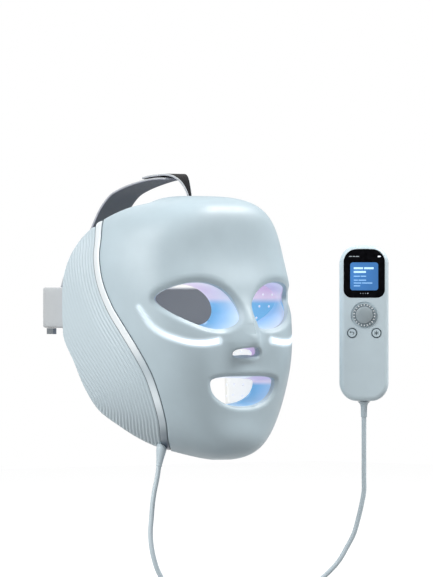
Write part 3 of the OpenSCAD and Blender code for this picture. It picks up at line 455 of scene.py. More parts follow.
    def liner_depth(self, a, z):
        """Depth of the liner's inner face under the outer surface."""
        s = self.s
        opened = ease((-self.skin(a, z)[..., 1] - self.rim_y(z)) / (1.1 * s.side_thick))
        whole = mix(s.front_thick, s.side_thick, ease((np.abs(a) - 38) / 22))
        return mix(s.shell_t + RIM_GAP + s.liner_t, whole, opened)


class Grid:
    """Fine grid of points on the mask, drawn to the edges of its openings."""

    REACH = 3

    def __init__(self, face, holes, bound, share_power, fine):
        self.face, self.holes, self.bound, self.share_power = face, holes, bound, share_power
        level = {row for *_, r0, r1 in holes for row in (r0, r1)}
        upright = {col for _, c0, c1, *_ in holes for col in (c0, c1, -c0, -c1)}
        self.rows = fine_steps(0, face.last_row, level, fine)
        self.cols = fine_steps(-HALF_COLS, HALF_COLS, upright, fine)
        self.i, self.c = self.rows[:, None], self.cols[None, :]

    def level(self, row):
        """Height of a row of the grid."""
        return np.interp(row, np.arange(self.face.last_row + 1), self.face.levels)

    def start(self, row, col):
        """Angle and height of a point before the openings draw it."""
        z = self.level(row)
        return (col / HALF_COLS) ** self.share_power * self.bound(z), z

    def knots(self, e):
        """Angle and height of every grid point, with the openings grown by e."""
        k = np.abs(self.c)
        i = self.i + 0 * k
        k = k + 0 * self.i
        a, z = self.start(i, k)
        total = np.zeros(a.shape)
        shift_a, shift_z = np.zeros(a.shape), np.zeros(a.shape)
        for kind, c0, c1, r0, r1 in self.holes:
            row, col = np.clip(i, r0, r1), np.clip(k, c0, c1)
            w = np.maximum(0, 1 - np.maximum(np.abs(i - row), np.abs(k - col)) / self.REACH)
            u = (2 * col - c0 - c1) / (c1 - c0)
            v = (r0 + r1 - 2 * row) / (r1 - r0)
            sides = np.where(u > 0, 45 * v, 180 - 45 * v)
            ends = np.where(v > 0, 90 - 45 * u, 270 + 45 * u)
            x, height = self.face.hole_edge(kind, np.where(np.abs(u) >= np.abs(v), sides, ends), e)
            a0, z0 = self.start(row, col)
            gain = w / (1.001 - w)
            total += gain
            shift_a += gain * w * (self.face.angle_at(x, height) - a0)
            shift_z += gain * w * (height - z0)
        total = np.where(total == 0, 1, total)
        a = np.where(self.c == 0, 0, np.sign(self.c) * (a + shift_a / total))
        return a, z + shift_z / total

    def keep(self):
        """1 for a cell that is solid, 0 for one in an opening."""
        i = (self.rows[:-1] + self.rows[1:])[:, None] / 2
        c = np.abs((self.cols[:-1] + self.cols[1:])[None, :] / 2)
        solid = np.ones((len(self.rows) - 1, len(self.cols) - 1), int)
        for _, c0, c1, r0, r1 in self.holes:
            solid[(i > r0) & (i < r1) & (c > c0) & (c < c1)] = 0
        return solid


EDGE_CROWD = 1.7


def fine_steps(first, last, edges, count):
    """Parameters from first to last, count to a cell and closer together beside an edge."""
    steps = []
    for k in range(first, last):
        t = np.arange(count) / count
        if k in edges:
            t = t ** EDGE_CROWD
        if k + 1 in edges:
            back = np.arange(1, count)[::-1] / count
            t = np.append(0, 1 - back * back ** (EDGE_CROWD - 1))
        steps += list(k + t)
    return np.array(steps + [last], float)


def rolled(distance, radius):
    """Depth of a rounded edge at a distance from it."""
    t = np.clip(radius - distance, 0, radius)
    return radius - np.sqrt(radius ** 2 - t ** 2)


# Meshes

# Points closer than this are one, in metres
WELD = 1e-6


def solid_between(sheets, keep, order=(0, 1)):
    """Solid between the first sheet, outside, and the second; further sheets line the openings."""
    rows, cols = sheets[0].shape[:2]
    size = rows * cols
    state = np.full((rows + 1, cols + 1), -1)
    state[1:-1, 1:-1] = keep
    faces = []
    for i, j in zip(*np.nonzero(keep == 1)):
        a = int(i * cols + j)
        b, c, d = a + 1, a + 1 + cols, a + cols
        faces += [(a, b, c, d), (a + size, d + size, c + size, b + size)]
        for down, right, p, q in ((0, 1, a, b), (1, 2, b, c), (2, 1, c, d), (1, 0, d, a)):
            beside = state[i + down, j + right]
            if beside != 1:
                chain = [k * size for k in (order if beside == 0 else (0, 1))]
                faces += [(q + m, p + m, p + n, q + n) for m, n in zip(chain, chain[1:])]
    return np.concatenate([s.reshape(-1, 3) for s in sheets]), faces


def sheet_solid(sheets):
    """Solid between two whole sheets of points."""
    rows, cols = sheets[0].shape[:2]
    return solid_between(sheets, np.ones((rows - 1, cols - 1), int))


def rings_between(rings, closed=False):
    """Solid through rings of points that all have the same count, or through a loop of them."""
    n, count = len(rings[0]), len(rings)
    faces = []
    for i in range(count if closed else count - 1):
        p, q = i * n, (i + 1) % count * n
        faces += [(p + k, q + k, q + (k + 1) % n, p + (k + 1) % n) for k in range(n)]
    if not closed:
        faces += [tuple(range(n))[::-1], tuple((count - 1) * n + k for k in range(n))]
    return np.concatenate([np.asarray(r, float) for r in rings]), faces


def put_in_scene(name, mesh, smooth, weld, thin=0.0):
    """Welds a new mesh, turns its faces out, shades it smooth up to an angle and makes its object."""
    bm = bmesh.new()
    bm.from_mesh(mesh)
    bmesh.ops.delete(bm, geom=[v for v in bm.verts if not v.link_faces], context="VERTS")
    bmesh.ops.remove_doubles(bm, verts=bm.verts, dist=weld)
    if thin:
        bmesh.ops.dissolve_degenerate(bm, edges=bm.edges, dist=thin)
    bmesh.ops.recalc_face_normals(bm, faces=bm.faces)
    bm.to_mesh(mesh)
    bm.free()
    mesh.shade_smooth()
    mesh.set_sharp_from_angle(angle=math.radians(smooth))
    obj = bpy.data.objects.new(name, mesh)
    bpy.context.scene.collection.objects.link(obj)
    return obj


def give_tone(mesh, key, values):
    """Values on the points that a finish reads under the name key."""
    tone = mesh.attributes.new(key, "FLOAT", "POINT")
    tone.data.foreach_set("value", values.astype(np.float32))


def make_mesh(name, points, faces, smooth=40, tones=None):
    """A clean closed piece from points in millimetres."""
    mesh = bpy.data.meshes.new(name)
    mesh.from_pydata((np.asarray(points) * MM).tolist(), [], faces)
    for key, values in (tones or {}).items():
        give_tone(mesh, key, values)
    return put_in_scene(name, mesh, smooth, 2 * WELD, WELD)


class Parts:
    """Closed forms that are joined in one piece, each with its finish."""

    def __init__(self):
        self.points, self.faces, self.finish, self.pale, self.count = [], [], [], [], 0

    def add(self, points, faces, finish=0, pale=0.0):
        self.points.append(np.asarray(points, float))
        self.pale.append(np.zeros(len(points)) + pale)
        self.faces += [tuple(k + self.count for k in f) for f in faces]
        self.finish += [finish] * len(faces) if isinstance(finish, int) else list(finish)
        self.count += len(points)

    def make(self, name, smooth=40):
        mesh = bpy.data.meshes.new(name)
        mesh.from_pydata((np.concatenate(self.points) * MM).tolist(), [], self.faces)
        mesh.polygons.foreach_set("material_index", self.finish)
        pale = np.concatenate(self.pale)
        if pale.any():
            give_tone(mesh, "pale", pale)
        return put_in_scene(name, mesh, smooth, WELD)


def settle(obj, body, finish, replaced=()):
    """Gives a piece its finish, its body and the node that it stands for."""
    finishes = finish if isinstance(finish, (list, tuple)) else [finish]
    if len(obj.data.materials):
        obj.data.materials.clear()
    for material in finishes:
        obj.data.materials.append(material)
    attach(obj, body)
    if replaced:
        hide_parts(*replaced)
    return obj


def mirrored(points):
    """Points set over to the wearer's right."""
    return np.asarray(points) * [-1, 1, 1]


def both_sides():
    """The two sides, each with what turns points of the left one to it."""
    return (("left", lambda p: np.asarray(p)), ("right", mirrored))


# Finishes

def new_finish(name, base, rough, metallic=0.0, specular=0.5):
    """A material whose fixed values sit on the shader's own sockets."""
    material = bpy.data.materials.new(name)
    material.use_nodes = True
    shader = material.node_tree.nodes["Principled BSDF"]
    shader.inputs["Base Color"].default_value = (*base, 1)
    shader.inputs["Roughness"].default_value = rough
    shader.inputs["Metallic"].default_value = metallic
    shader.inputs["Specular IOR Level"].default_value = specular
    return material, shader


def node(material, kind, **values):
    """Adds a node and sets its sockets or its properties by name."""
    made = material.node_tree.nodes.new(kind)
    for key, value in values.items():
        if key in made.inputs:
            made.inputs[key].default_value = value
        else:
            setattr(made, key, value)
    return made


def join(material, a, b):
    """Links an output to an input."""
    material.node_tree.links.new(a, b)


def place(material):
    """Place on the object, in metres."""
    return node(material, "ShaderNodeTexCoord").outputs["Object"]


def noise(material, scale, detail=2.0, at=None):
    """Cloudy grain from 0 to 1."""
    made = node(material, "ShaderNodeTexNoise", Scale=scale, Detail=detail)
    join(material, at or place(material), made.inputs["Vector"])
    return made.outputs["Fac"]


def ranged(material, value, low, high, start=0.3, end=0.7):
    """Takes a value from the span start to end over to the span low to high."""
    spans = {"From Min": start, "From Max": end, "To Min": low, "To Max": high}
    made = node(material, "ShaderNodeMapRange", **spans)
    join(material, value, made.inputs["Value"])
    return made.outputs["Result"]


def blend_colours(material, factor, a, b):
    """Colour a where the factor is 0 and b where it is 1."""
    made = node(material, "ShaderNodeMix", data_type="RGBA")
    join(material, factor, made.inputs["Factor"])
    for value, socket in ((a, made.inputs[6]), (b, made.inputs[7])):
        if isinstance(value, bpy.types.NodeSocket):
            join(material, value, socket)
        else:
            socket.default_value = (*value, 1)
    return made.outputs[2]


def bumped(material, shader, height, distance, strength=1.0):
    """Lets a grain raise the surface."""
    made = node(material, "ShaderNodeBump", Strength=strength, Distance=distance)
    join(material, height, made.inputs["Height"])
    join(material, made.outputs["Normal"], shader.inputs["Normal"])


def shaded(colour, factor):
    """A colour, darker or lighter by a factor."""
    return [min(1.0, c * factor) for c in colour]


def satin(name, colour, rough=0.4, grain=0.00002, scale=2600, spread=0.03):
    """Fine-grained satin plastic: a slight mottle, a fine spark texture and a varying polish."""
    material, shader = new_finish(name, colour, rough)
    mottle = ranged(material, noise(material, 38, 3), 0, 1)
    join(material, blend_colours(material, mottle, shaded(colour, 1 - spread), shaded(colour, 1 + spread)),
         shader.inputs["Base Color"])
    polish = ranged(material, noise(material, 120, 3), rough - 0.05, rough + 0.05)
    join(material, polish, shader.inputs["Roughness"])
    bumped(material, shader, noise(material, scale, 2), grain, 0.6)
    return material, shader


def shine(material, shader, colour, strength):
    """Lets a finish give off light of a colour that nodes make."""
    join(material, colour, shader.inputs["Emission Color"])
    shader.inputs["Emission Strength"].default_value = strength


def tone_of(material, key):
    """The value that a piece carries on its points under the name key."""
    return node(material, "ShaderNodeAttribute", attribute_name=key).outputs["Fac"]


def place_parts(material):
    """X, Y and Z of the place on the object, in metres."""
    made = node(material, "ShaderNodeSeparateXYZ")
    join(material, place(material), made.inputs[0])
    return made.outputs


def product(material, a, b):
    """One value times another."""
    made = node(material, "ShaderNodeMath", operation="MULTIPLY")
    join(material, a, made.inputs[0])
    join(material, b, made.inputs[1])
    return made.outputs[0]


def by_height(material, stops):
    """Colours at heights in metres, smooth between them."""
    low, high = stops[0][0], stops[-1][0]
    height = place_parts(material)["Z"]
    ramp = node(material, "ShaderNodeValToRGB")
    join(material, ranged(material, height, 0, 1, low, high), ramp.inputs["Fac"])
    ramp.color_ramp.interpolation = "EASE"
    points = ramp.color_ramp.elements
    for k, (z, colour) in enumerate(stops):
        spot = points[k] if k < 2 else points.new(1)
        spot.position = (z - low) / (high - low)
        spot.color = (*colour, 1)
    return ramp.outputs["Color"]


def shell_finish(colours):
    """Satin shell that lets the under-eye light through where the attribute glow says."""
    material, shader = satin("shell_satin", colours.shell, 0.41)
    lit = blend_colours(material, tone_of(material, "glow"), (0, 0, 0), colours.glow)
    shine(material, shader, lit, 1.15)
    return material


def panel_finish(colours):
    """Satin plastic with painted shade that darkens its grooves."""
    material, shader = satin("panel_satin", colours.panel, 0.42)
    painted_groove_shade = shaded(colours.panel, 0.89)
    toned = blend_colours(material, tone_of(material, "groove"), colours.panel, painted_groove_shade)
    join(material, toned, shader.inputs["Base Color"])
    return material


def trim_finish(colours):
    """Polished paint with painted reflections along its height: darker towards the chin, with painted lighter
    and darker bands above.
    """
    material, shader = new_finish("trim_polish", colours.trim, 0.36, 0.15)
    # Painted reflections by height: a dark reflection at the chin end, painted lighter and darker bands above
    # it, then the plain trim colour higher up
    stops = [
        (-0.131, colours.trim_dark_reflection), (-0.119, colours.trim_dark_reflection), (-0.11, linear("#7B8993")),
        (-0.098, linear("#B6C3CA")), (-0.08, linear("#E4EEF3")), (-0.055, linear("#B9C6CD")),
        (-0.03, colours.trim), (0.09, colours.trim),
    ]
    join(material, by_height(material, stops), shader.inputs["Base Color"])
    shader.inputs["Coat Weight"].default_value = 0.6
    shader.inputs["Coat Roughness"].default_value = 0.08
    bumped(material, shader, noise(material, 300, 2), 0.00001, 0.3)
    return material


def liner_finish(colours):
    """Smooth light-passing plastic, lit warm above and cool below in each zone by its lights, with a painted
    pale glow where its points carry pale and a painted white glow on its lower rear.
    """
    material, shader = new_finish("liner_lit", linear("#C9C6DC"), 0.3)
    pink, blue, pale = colours.pink, colours.blue, linear("#E3D7EE")
    stops = [
        (-0.13, shaded(blue, 0.8)), (-0.082, shaded(blue, 0.9)), (-0.069, blue), (-0.0655, pale),
        (-0.0625, pink), (-0.034, pink), (-0.026, blue), (-0.001, blue), (0.0045, pale), (0.013, pink),
        (0.09, shaded(pink, 0.8)),
    ]
    # The pale attribute adds a painted pale glow to the rims round the openings
    painted_pale_glow = tone_of(material, "pale")
    tint = blend_colours(material, painted_pale_glow, by_height(material, stops), linear("#E0E7F4"))
    at = place_parts(material)
    # A painted near-white glow on the lower rear of the liner, standing in for light seen through the mouth
    # and nostrils
    back = ranged(material, at["Y"], 0, 1, -0.084, -0.066)
    low = ranged(material, at["Z"], 1, 0, -0.038, -0.025)
    behind = product(material, back, low)
    lit = blend_colours(material, behind, tint, (0.97, 0.98, 0.93))
    join(material, lit, shader.inputs["Emission Color"])
    join(material, ranged(material, behind, 0.46, 0.53), shader.inputs["Emission Strength"])
    haze = ranged(material, noise(material, 60, 2), 0, 1)
    dim = blend_colours(material, haze, (0.7, 0.7, 0.7), (0.8, 0.8, 0.8))
    toned = node(material, "ShaderNodeMix", data_type="RGBA", blend_type="MULTIPLY")
    toned.inputs["Factor"].default_value = 1
    join(material, lit, toned.inputs[6])
    join(material, dim, toned.inputs[7])
    join(material, toned.outputs[2], shader.inputs["Base Color"])
    shader.inputs["Coat Weight"].default_value = 0.4
    shader.inputs["Coat Roughness"].default_value = 0.12
    bumped(material, shader, noise(material, 900, 2), 0.00001, 0.4)
    return material


def light_finish(name, colour, strength):
    """Plastic that shines evenly, with a faint cloud."""
    material, shader = new_finish(name, colour, 0.25)
    cloud = ranged(material, noise(material, 500, 2), 0, 1)
    shine(material, shader, blend_colours(material, cloud, shaded(colour, 0.94), colour), strength)
    return material


def guide_finish(colours):
    """Light strip that shines more where the attribute glow says."""
    material, shader = new_finish("guide_lit", shaded(colours.shell, 1.1), 0.3)
    glow = tone_of(material, "glow")
    lit = blend_colours(material, glow, shaded(colours.shell, 0.2), colours.glow)
    shine(material, shader, lit, 1.0)
    return material


def metal_finish(name, code, rough, brushed=0.0):
    """Bare metal with fine drawn marks."""
    colour = linear(code)
    material, shader = new_finish(name, colour, rough, 1.0)
    stretch = node(material, "ShaderNodeMapping", Scale=(1.0, 1.0, 1.0 + brushed))
    join(material, place(material), stretch.inputs["Vector"])
    marks = noise(material, 1400, 3, stretch.outputs["Vector"])
    join(material, ranged(material, marks, rough - 0.08, rough + 0.1), shader.inputs["Roughness"])
    tone = ranged(material, noise(material, 90, 2), 0, 1)
    join(material, blend_colours(material, tone, shaded(colour, 0.93), colour), shader.inputs["Base Color"])
    bumped(material, shader, marks, 0.00001, 0.4)
    return material


def cloth_finish(name, colour, sheen=0.3):
    """Knitted strap cloth: fine ribs that cross, fuzz and a slight fade."""
    material, shader = new_finish(name, colour, 0.88, 0, 0.25)
    waves = []
    for way, scale, bent in (("DIAGONAL", 520, 0.6), ("Z", 460, 0.4)):
        wave = node(material, "ShaderNodeTexWave", bands_direction=way, Scale=scale, Distortion=bent)
        join(material, place(material), wave.inputs["Vector"])
        waves.append(wave.outputs["Fac"])
    both = product(material, *waves)
    weave = ranged(material, both, 0, 1, 0.0, 1.0)
    fade = ranged(material, noise(material, 70, 4), 0.0, 1.0)
    tone = blend_colours(material, weave, shaded(colour, 0.84), shaded(colour, 1.05))
    faded = blend_colours(material, ranged(material, fade, 0, 0.25, 0, 1), tone, shaded(colour, 0.9))
    join(material, faded, shader.inputs["Base Color"])
    shader.inputs["Sheen Weight"].default_value = sheen
    shader.inputs["Sheen Roughness"].default_value = 0.5
    bumped(material, shader, both, 0.0002, 0.5)
    return material


def board_finish():
    """White solder mask over fine copper lines."""
    colour = linear("#DCE3E4")
    material, shader = new_finish("board_mask", colour, 0.45)
    cells = node(material, "ShaderNodeTexVoronoi", Scale=420, feature="DISTANCE_TO_EDGE")
    join(material, place(material), cells.inputs["Vector"])
    lines = ranged(material, cells.outputs["Distance"], 0, 1, 0.02, 0.06)
    join(material, blend_colours(material, lines, shaded(colour, 0.72), colour), shader.inputs["Base Color"])
    bumped(material, shader, lines, 0.00002, 0.5)
    return material


def glass_finish():
    """Black gloss of the display window with faint smears in its polish."""
    material, shader = new_finish("window_black", (0.003, 0.003, 0.004), 0.08, 0, 0.04)
    smear = ranged(material, noise(material, 160, 4), 0.05, 0.16)
    join(material, smear, shader.inputs["Roughness"])
    tint = ranged(material, noise(material, 300, 2), 0, 1)
    join(material, blend_colours(material, tint, (0.002, 0.002, 0.003), (0.006, 0.006, 0.008)),
         shader.inputs["Base Color"])
    return material


def screen_finish(colours):
    """Lit ground of the display, a little brighter in its upper corner."""
    material, shader = new_finish("screen_lit", shaded(colours.screen, 0.3), 0.3)
    soft = ranged(material, noise(material, 45, 1), 0, 1)
    lit = blend_colours(material, soft, shaded(colours.screen, 0.82), shaded(colours.screen, 1.2))
    shine(material, shader, lit, 0.8)
    return material


FINISHES = {}


def finishes():
    """Every finish of the object by the name of its slot."""
    if FINISHES:
        return FINISHES
    c = bpy.context.scene.mask_colours
    FINISHES.update(
        shell_plastic=shell_finish(c),
        panel_plastic=panel_finish(c),
        trim_silver=trim_finish(c),
        liner_plastic=liner_finish(c),
        board_laminate=board_finish(),
        light_chip=light_finish("lens_lit", linear("#FFFFFF"), 1.6),
        light_guide=guide_finish(c),
        cold_plate_metal=metal_finish("plate_polish", "#C9CDD2", 0.22),
        cooler_ceramic=satin("cooler_ceramic", linear("#DBDBD6"), 0.6)[0],
        heat_metal=metal_finish("sink_metal", "#A9AEB3", 0.35, 5),
        fan_plastic=satin("fan_black", linear("#1B1C1F"), 0.5)[0],
        strap_fabric=cloth_finish("strap_cloth", c.cloth),
        strap_lining=cloth_finish("strap_lining", c.web, 0.15),
        back_lining=cloth_finish("back_lining", linear("#868C91"), 0.15),
        tab_fabric=cloth_finish("tab_cloth", linear("#0B0B0D"), 0.1),
        strap_plastic=satin("strap_plastic", linear("#6E757A"), 0.45)[0],
        controller_plastic=satin("controller_satin", c.hand, 0.36)[0],
        window_gloss=glass_finish(),
        display_blue=screen_finish(c),
        battery_wrap=satin("battery_wrap", linear("#8C939A"), 0.5)[0],
        encoder_metal=metal_finish("encoder_metal", "#A3A5A8", 0.35),
        dial_plastic=satin("dial_satin", shaded(c.hand, 0.54), 0.3)[0],
        button_plastic=satin("button_satin", shaded(c.hand, 1.02), 0.36)[0],
        steel=metal_finish("screw_steel", "#9DA0A4", 0.3, 3),
        cord_jacket=satin("cord_jacket", c.cord, 0.42)[0],
        tie_rubber=satin("tie_rubber", linear("#50555A"), 0.6)[0],
        lens=light_finish("lens_pale", linear("#E6EAF6"), 0.46),
        seam_shade=satin("seam_shade", linear("#5F6C74"), 0.6)[0],
        ring_shade=satin("ring_shade", linear("#76858D"), 0.45)[0],
        dim_mark=light_finish("mark_dim", linear("#8DBBE4"), 0.62),
        soft_mark=light_finish("mark_soft", linear("#8F979C"), 0.7),
        line_mark=light_finish("mark_line", linear("#B9DCF7"), 0.72),
        symbol=satin("symbol_print", c.mark, 0.5)[0],
        pale_mark=light_finish("mark_lit", linear("#EAF4FF"), 0.75),
        tick_white=satin("tick_white", linear("#F4F8FA"), 0.4)[0],
    )
    return FINISHES


# Stage

FLOOR_DROP, FLOOR_REACH, PAPER_TONE, PAPER_WHITE = 0.0015, 3.0, 0.24, 0.88
SKY_COLOUR, SKY_STRENGTH = (0.95, 0.955, 0.96), 0.34
PART_MIDDLE = (0.0, -0.07, -0.03)
# Name, place, aim and width in metres, and power in watts
LAMPS = [
    ("key_softbox", (1.32, -1.03, 1.78), PART_MIDDLE, 1.1, 47),
    ("side_softbox", (-2.1, 0.1, 1.2), PART_MIDDLE, 1.9, 53),
    ("brow_softbox", (0.42, -0.42, 0.5), (0.03, -0.1, 0.04), 0.3, 1.1),
    ("front_softbox", (-0.9, -2.2, 1.2), PART_MIDDLE, 1.6, 5),
    ("back_softbox", (0.4, 1.8, 0.8), PART_MIDDLE, 1.4, 9),
]
# The view from the mask's right: its turn in degrees, its middle in mm and its distance in metres
VIEW_TURN, VIEW_MIDDLE, VIEW_AWAY = 42, (-2.1, -96.3, 12.1), 5
VIEW_LENS, VIEW_SENSOR, VIEW_END = 374.4, 36, 30


def aim(obj, target):
    """Turns a lamp towards a point."""
    way = Vector(target) - obj.location
    obj.rotation_euler = way.to_track_quat("-Z", "Y").to_euler()


def area_light(name, at, target, size, power_w):
    """A square softbox."""
    data = bpy.data.lights.new(name, "AREA")
    data.shape, data.size, data.energy = "SQUARE", size, power_w
    obj = bpy.data.objects.new(name, data)
    obj.location = at
    bpy.context.scene.collection.objects.link(obj)
    aim(obj, target)


def white_for_the_eye(material, shader, light):
    """Adds a plain white that only the camera and reflections see."""
    seen = node(material, "ShaderNodeLightPath")
    most = node(material, "ShaderNodeMath", operation="MAXIMUM")
    join(material, seen.outputs["Is Camera Ray"], most.inputs[0])
    join(material, seen.outputs["Is Glossy Ray"], most.inputs[1])
    glow = node(material, "ShaderNodeMix", data_type="RGBA")
    join(material, most.outputs[0], glow.inputs["Factor"])
    glow.inputs[6].default_value = (0, 0, 0, 1)
    glow.inputs[7].default_value = (light, light, light, 1)
    shine(material, shader, glow.outputs[2], 1)


def build_stage():
    """White paper floor, softboxes, a pale room and the camera."""
    scene = bpy.context.scene
    scene.view_settings.view_transform = "Standard"
    world = bpy.data.worlds.new("studio")
    scene.world = world
    world.use_nodes = True
    tree = world.node_tree
    ground = tree.nodes["Background"]
    ground.inputs["Color"].default_value = (*SKY_COLOUR, 1)
    ground.inputs["Strength"].default_value = SKY_STRENGTH
    white = tree.nodes.new("ShaderNodeBackground")
    white.inputs["Strength"].default_value = 1
    white.inputs["Color"].default_value = (1, 1, 1, 1)
    seen = tree.nodes.new("ShaderNodeLightPath")
    either = tree.nodes.new("ShaderNodeMixShader")
    tree.links.new(seen.outputs["Is Camera Ray"], either.inputs[0])
    tree.links.new(ground.outputs[0], either.inputs[1])
    tree.links.new(white.outputs[0], either.inputs[2])
    tree.links.new(either.outputs[0], tree.nodes["World Output"].inputs["Surface"])

    mesh = bpy.data.meshes.new("studio_floor")
    corners = [(i * FLOOR_REACH, k * FLOOR_REACH, 0) for i, k in ((-1, -1), (1, -1), (1, 1), (-1, 1))]
    mesh.from_pydata(corners, [], [(0, 1, 2, 3)])
    floor = bpy.data.objects.new("studio_floor", mesh)
    floor.location = (0, 0, CAD_BOX[0][2] - FLOOR_DROP)
    scene.collection.objects.link(floor)
    material, shader = new_finish("studio_paper", [PAPER_TONE] * 3, 0.9, 0, 0.1)
    white_for_the_eye(material, shader, PAPER_WHITE)
    mesh.materials.append(material)

    for lamp in LAMPS:
        area_light(*lamp)

    camera = bpy.data.objects.new("photo_camera", bpy.data.cameras.new("photo_camera"))
    scene.collection.objects.link(camera)
    turn = math.radians(VIEW_TURN)
    forward = Vector((math.sin(turn), math.cos(turn), 0))
    camera.location = Vector(VIEW_MIDDLE) * MM - forward * VIEW_AWAY
    camera.rotation_euler = forward.to_track_quat("-Z", "Y").to_euler()
    camera.data.lens, camera.data.sensor_width = VIEW_LENS, VIEW_SENSOR
    camera.data.clip_end = VIEW_END
    scene.camera = camera


# Cord

MASK_ROUTE = [
    (-49, -77, -135), (-51, -77, -145), (-54, -77, -156), (-57, -78, -167), (-59, -79, -178),
    (-61, -80, -189), (-62, -82, -200), (-61, -84, -211), (-58, -86, -222), (-53, -89, -232),
    (-46, -92, -240), (-37, -95, -246), (-27, -98, -249), (-16, -100, -250), (-5, -101, -250),
    (6, -102, -250), (16, -102, -250), (26, -102, -250),
]
HAND_ROUTE = [
    (47, -107, -245), (57, -112, -245), (67, -117, -243), (77, -122, -239), (86, -127, -233),
    (94, -132, -225), (101, -136, -216), (107, -139, -205), (112, -142, -194), (115, -144, -182),
    (117, -146, -170), (119, -147, -158), (119, -147, -146), (119, -147, -134), (119, -147, -122),
    (119, -147, -109), (119, -147, -96),
]
# Middle and radius of the coil, its step to a turn, and how many turns go in; then its height, the
# lift to its upper layer, the share of a turn that climbs and the degrees that it goes on for
COIL_AT, COIL_R, COIL_STEP, COIL_IN = (30, -130), 28, 4.9, 2.25
COIL_LOW, COIL_LIFT, COIL_CLIMB, COIL_END = -250, 5, 0.5, 28
# Points worked out for the coil, those left off at its ends, each how many is used; and how far the
# cord reaches into its sleeves
COIL_POINTS, COIL_ENDS, COIL_EVERY, CORD_TUCK = 360, 3, 9, 1.5
GLAND_WAY = np.array([-0.2, 0, -1]) / math.hypot(0.2, 1)


def coil_points(count):
    """The flat coil from its outside in, up one cord and out again."""
    s = np.linspace(0, 2 * COIL_IN + COIL_CLIMB + COIL_END / 360, count)
    climb = np.clip((s - COIL_IN) / COIL_CLIMB, 0, 1)
    wound = np.minimum(s, COIL_IN) - np.maximum(s - COIL_IN - COIL_CLIMB, 0)
    r = COIL_R - COIL_STEP * wound - 0.8 * sind(180 * climb)
    a = 90 - 360 * s
    height = COIL_LOW + COIL_LIFT * ease(climb)
    return np.stack([COIL_AT[0] + r * cosd(a), COIL_AT[1] + r * sind(a), height], axis=1)


def smooth_line(points, steps):
    """Catmull-Rom line through points, steps to a span."""
    p = np.array(points, float)
    p = np.vstack([2 * p[0] - p[1], p, 2 * p[-1] - p[-2]])
    t = (np.arange(steps) / steps)[:, None]
    spans = []
    for a, b, c, d in zip(p, p[1:], p[2:], p[3:]):
        spans.append(b + 0.5 * t * (c - a + t * (2 * a - 5 * b + 4 * c - d + t * (3 * (b - c) + d - a))))
    return np.vstack(spans + [p[-2:-1]])


def tube_rings(path, radius, sides):
    """Rings of a tube along a path, carried on without twisting."""
    way = unit(np.gradient(path, axis=0))
    across = np.cross(way[0], [0.3, 0.5, 0.8])
    rings = []
    turn = np.linspace(0, 2 * math.pi, sides, endpoint=False)
    for p, w in zip(path, way):
        across = across - w * np.dot(across, w)
        across /= np.linalg.norm(across)
        beside = np.cross(w, across)
        rings.append(p + radius * (np.cos(turn)[:, None] * across + np.sin(turn)[:, None] * beside))
    return rings


def build_cord():
    """Cord from the mask through its coil to the controller."""
    s = in_mm(bpy.context.scene.strap_sizes)
    coil = coil_points(COIL_POINTS)[COIL_ENDS:-COIL_ENDS:COIL_EVERY]
    start = np.array(MASK_ROUTE[0]) - CORD_TUCK * GLAND_WAY
    end = np.array(HAND_ROUTE[-1]) + [0, 0, CORD_TUCK]
    path = smooth_line([start, *MASK_ROUTE, *coil, *HAND_ROUTE, end], 8)
    points, faces = rings_between(tube_rings(path, s.cord_d / 2, 14))
    cord = make_mesh("cord", points, faces, 60)
    runs = ("cord_mask_run", "cord_coil", "cord_hand_run")
    settle(cord, ROOT, finishes()["cord_jacket"], runs)


def lathe(profile, sides=48):
    """Rings round the Z axis from (radius, height) points."""
    turn = np.linspace(0, 2 * math.pi, sides, endpoint=False)
    return [np.stack([r * np.cos(turn), r * np.sin(turn), h + 0 * turn], axis=1) for r, h in profile]


# Widest radius of the mask's sleeve, its length, and how far its foot stands off the shell
SLEEVE_R, SLEEVE_L, SLEEVE_LIFT = 4.2, 22, 0.55
# Radius and height over the controller's lower end
HAND_GLAND = [
    (0.01, 3.5), (4.5, 3.5), (4.5, 2.3), (3.3, 2.3), (3.3, -0.3), (4.5, -0.3), (5.5, -0.5), (4.9, -0.9),
    (4.1, -1.5), (3.45, -2.3), (3.0, -3.3), (2.75, -4.6), (2.65, -6.5), (2.6, -9), (2.6, -11.6),
    (2.4, -11.8), (2.4, -12.2), (2.6, -12.4), (2.6, -13.2), (2.3, -13.5), (0.01, -13.5),
]


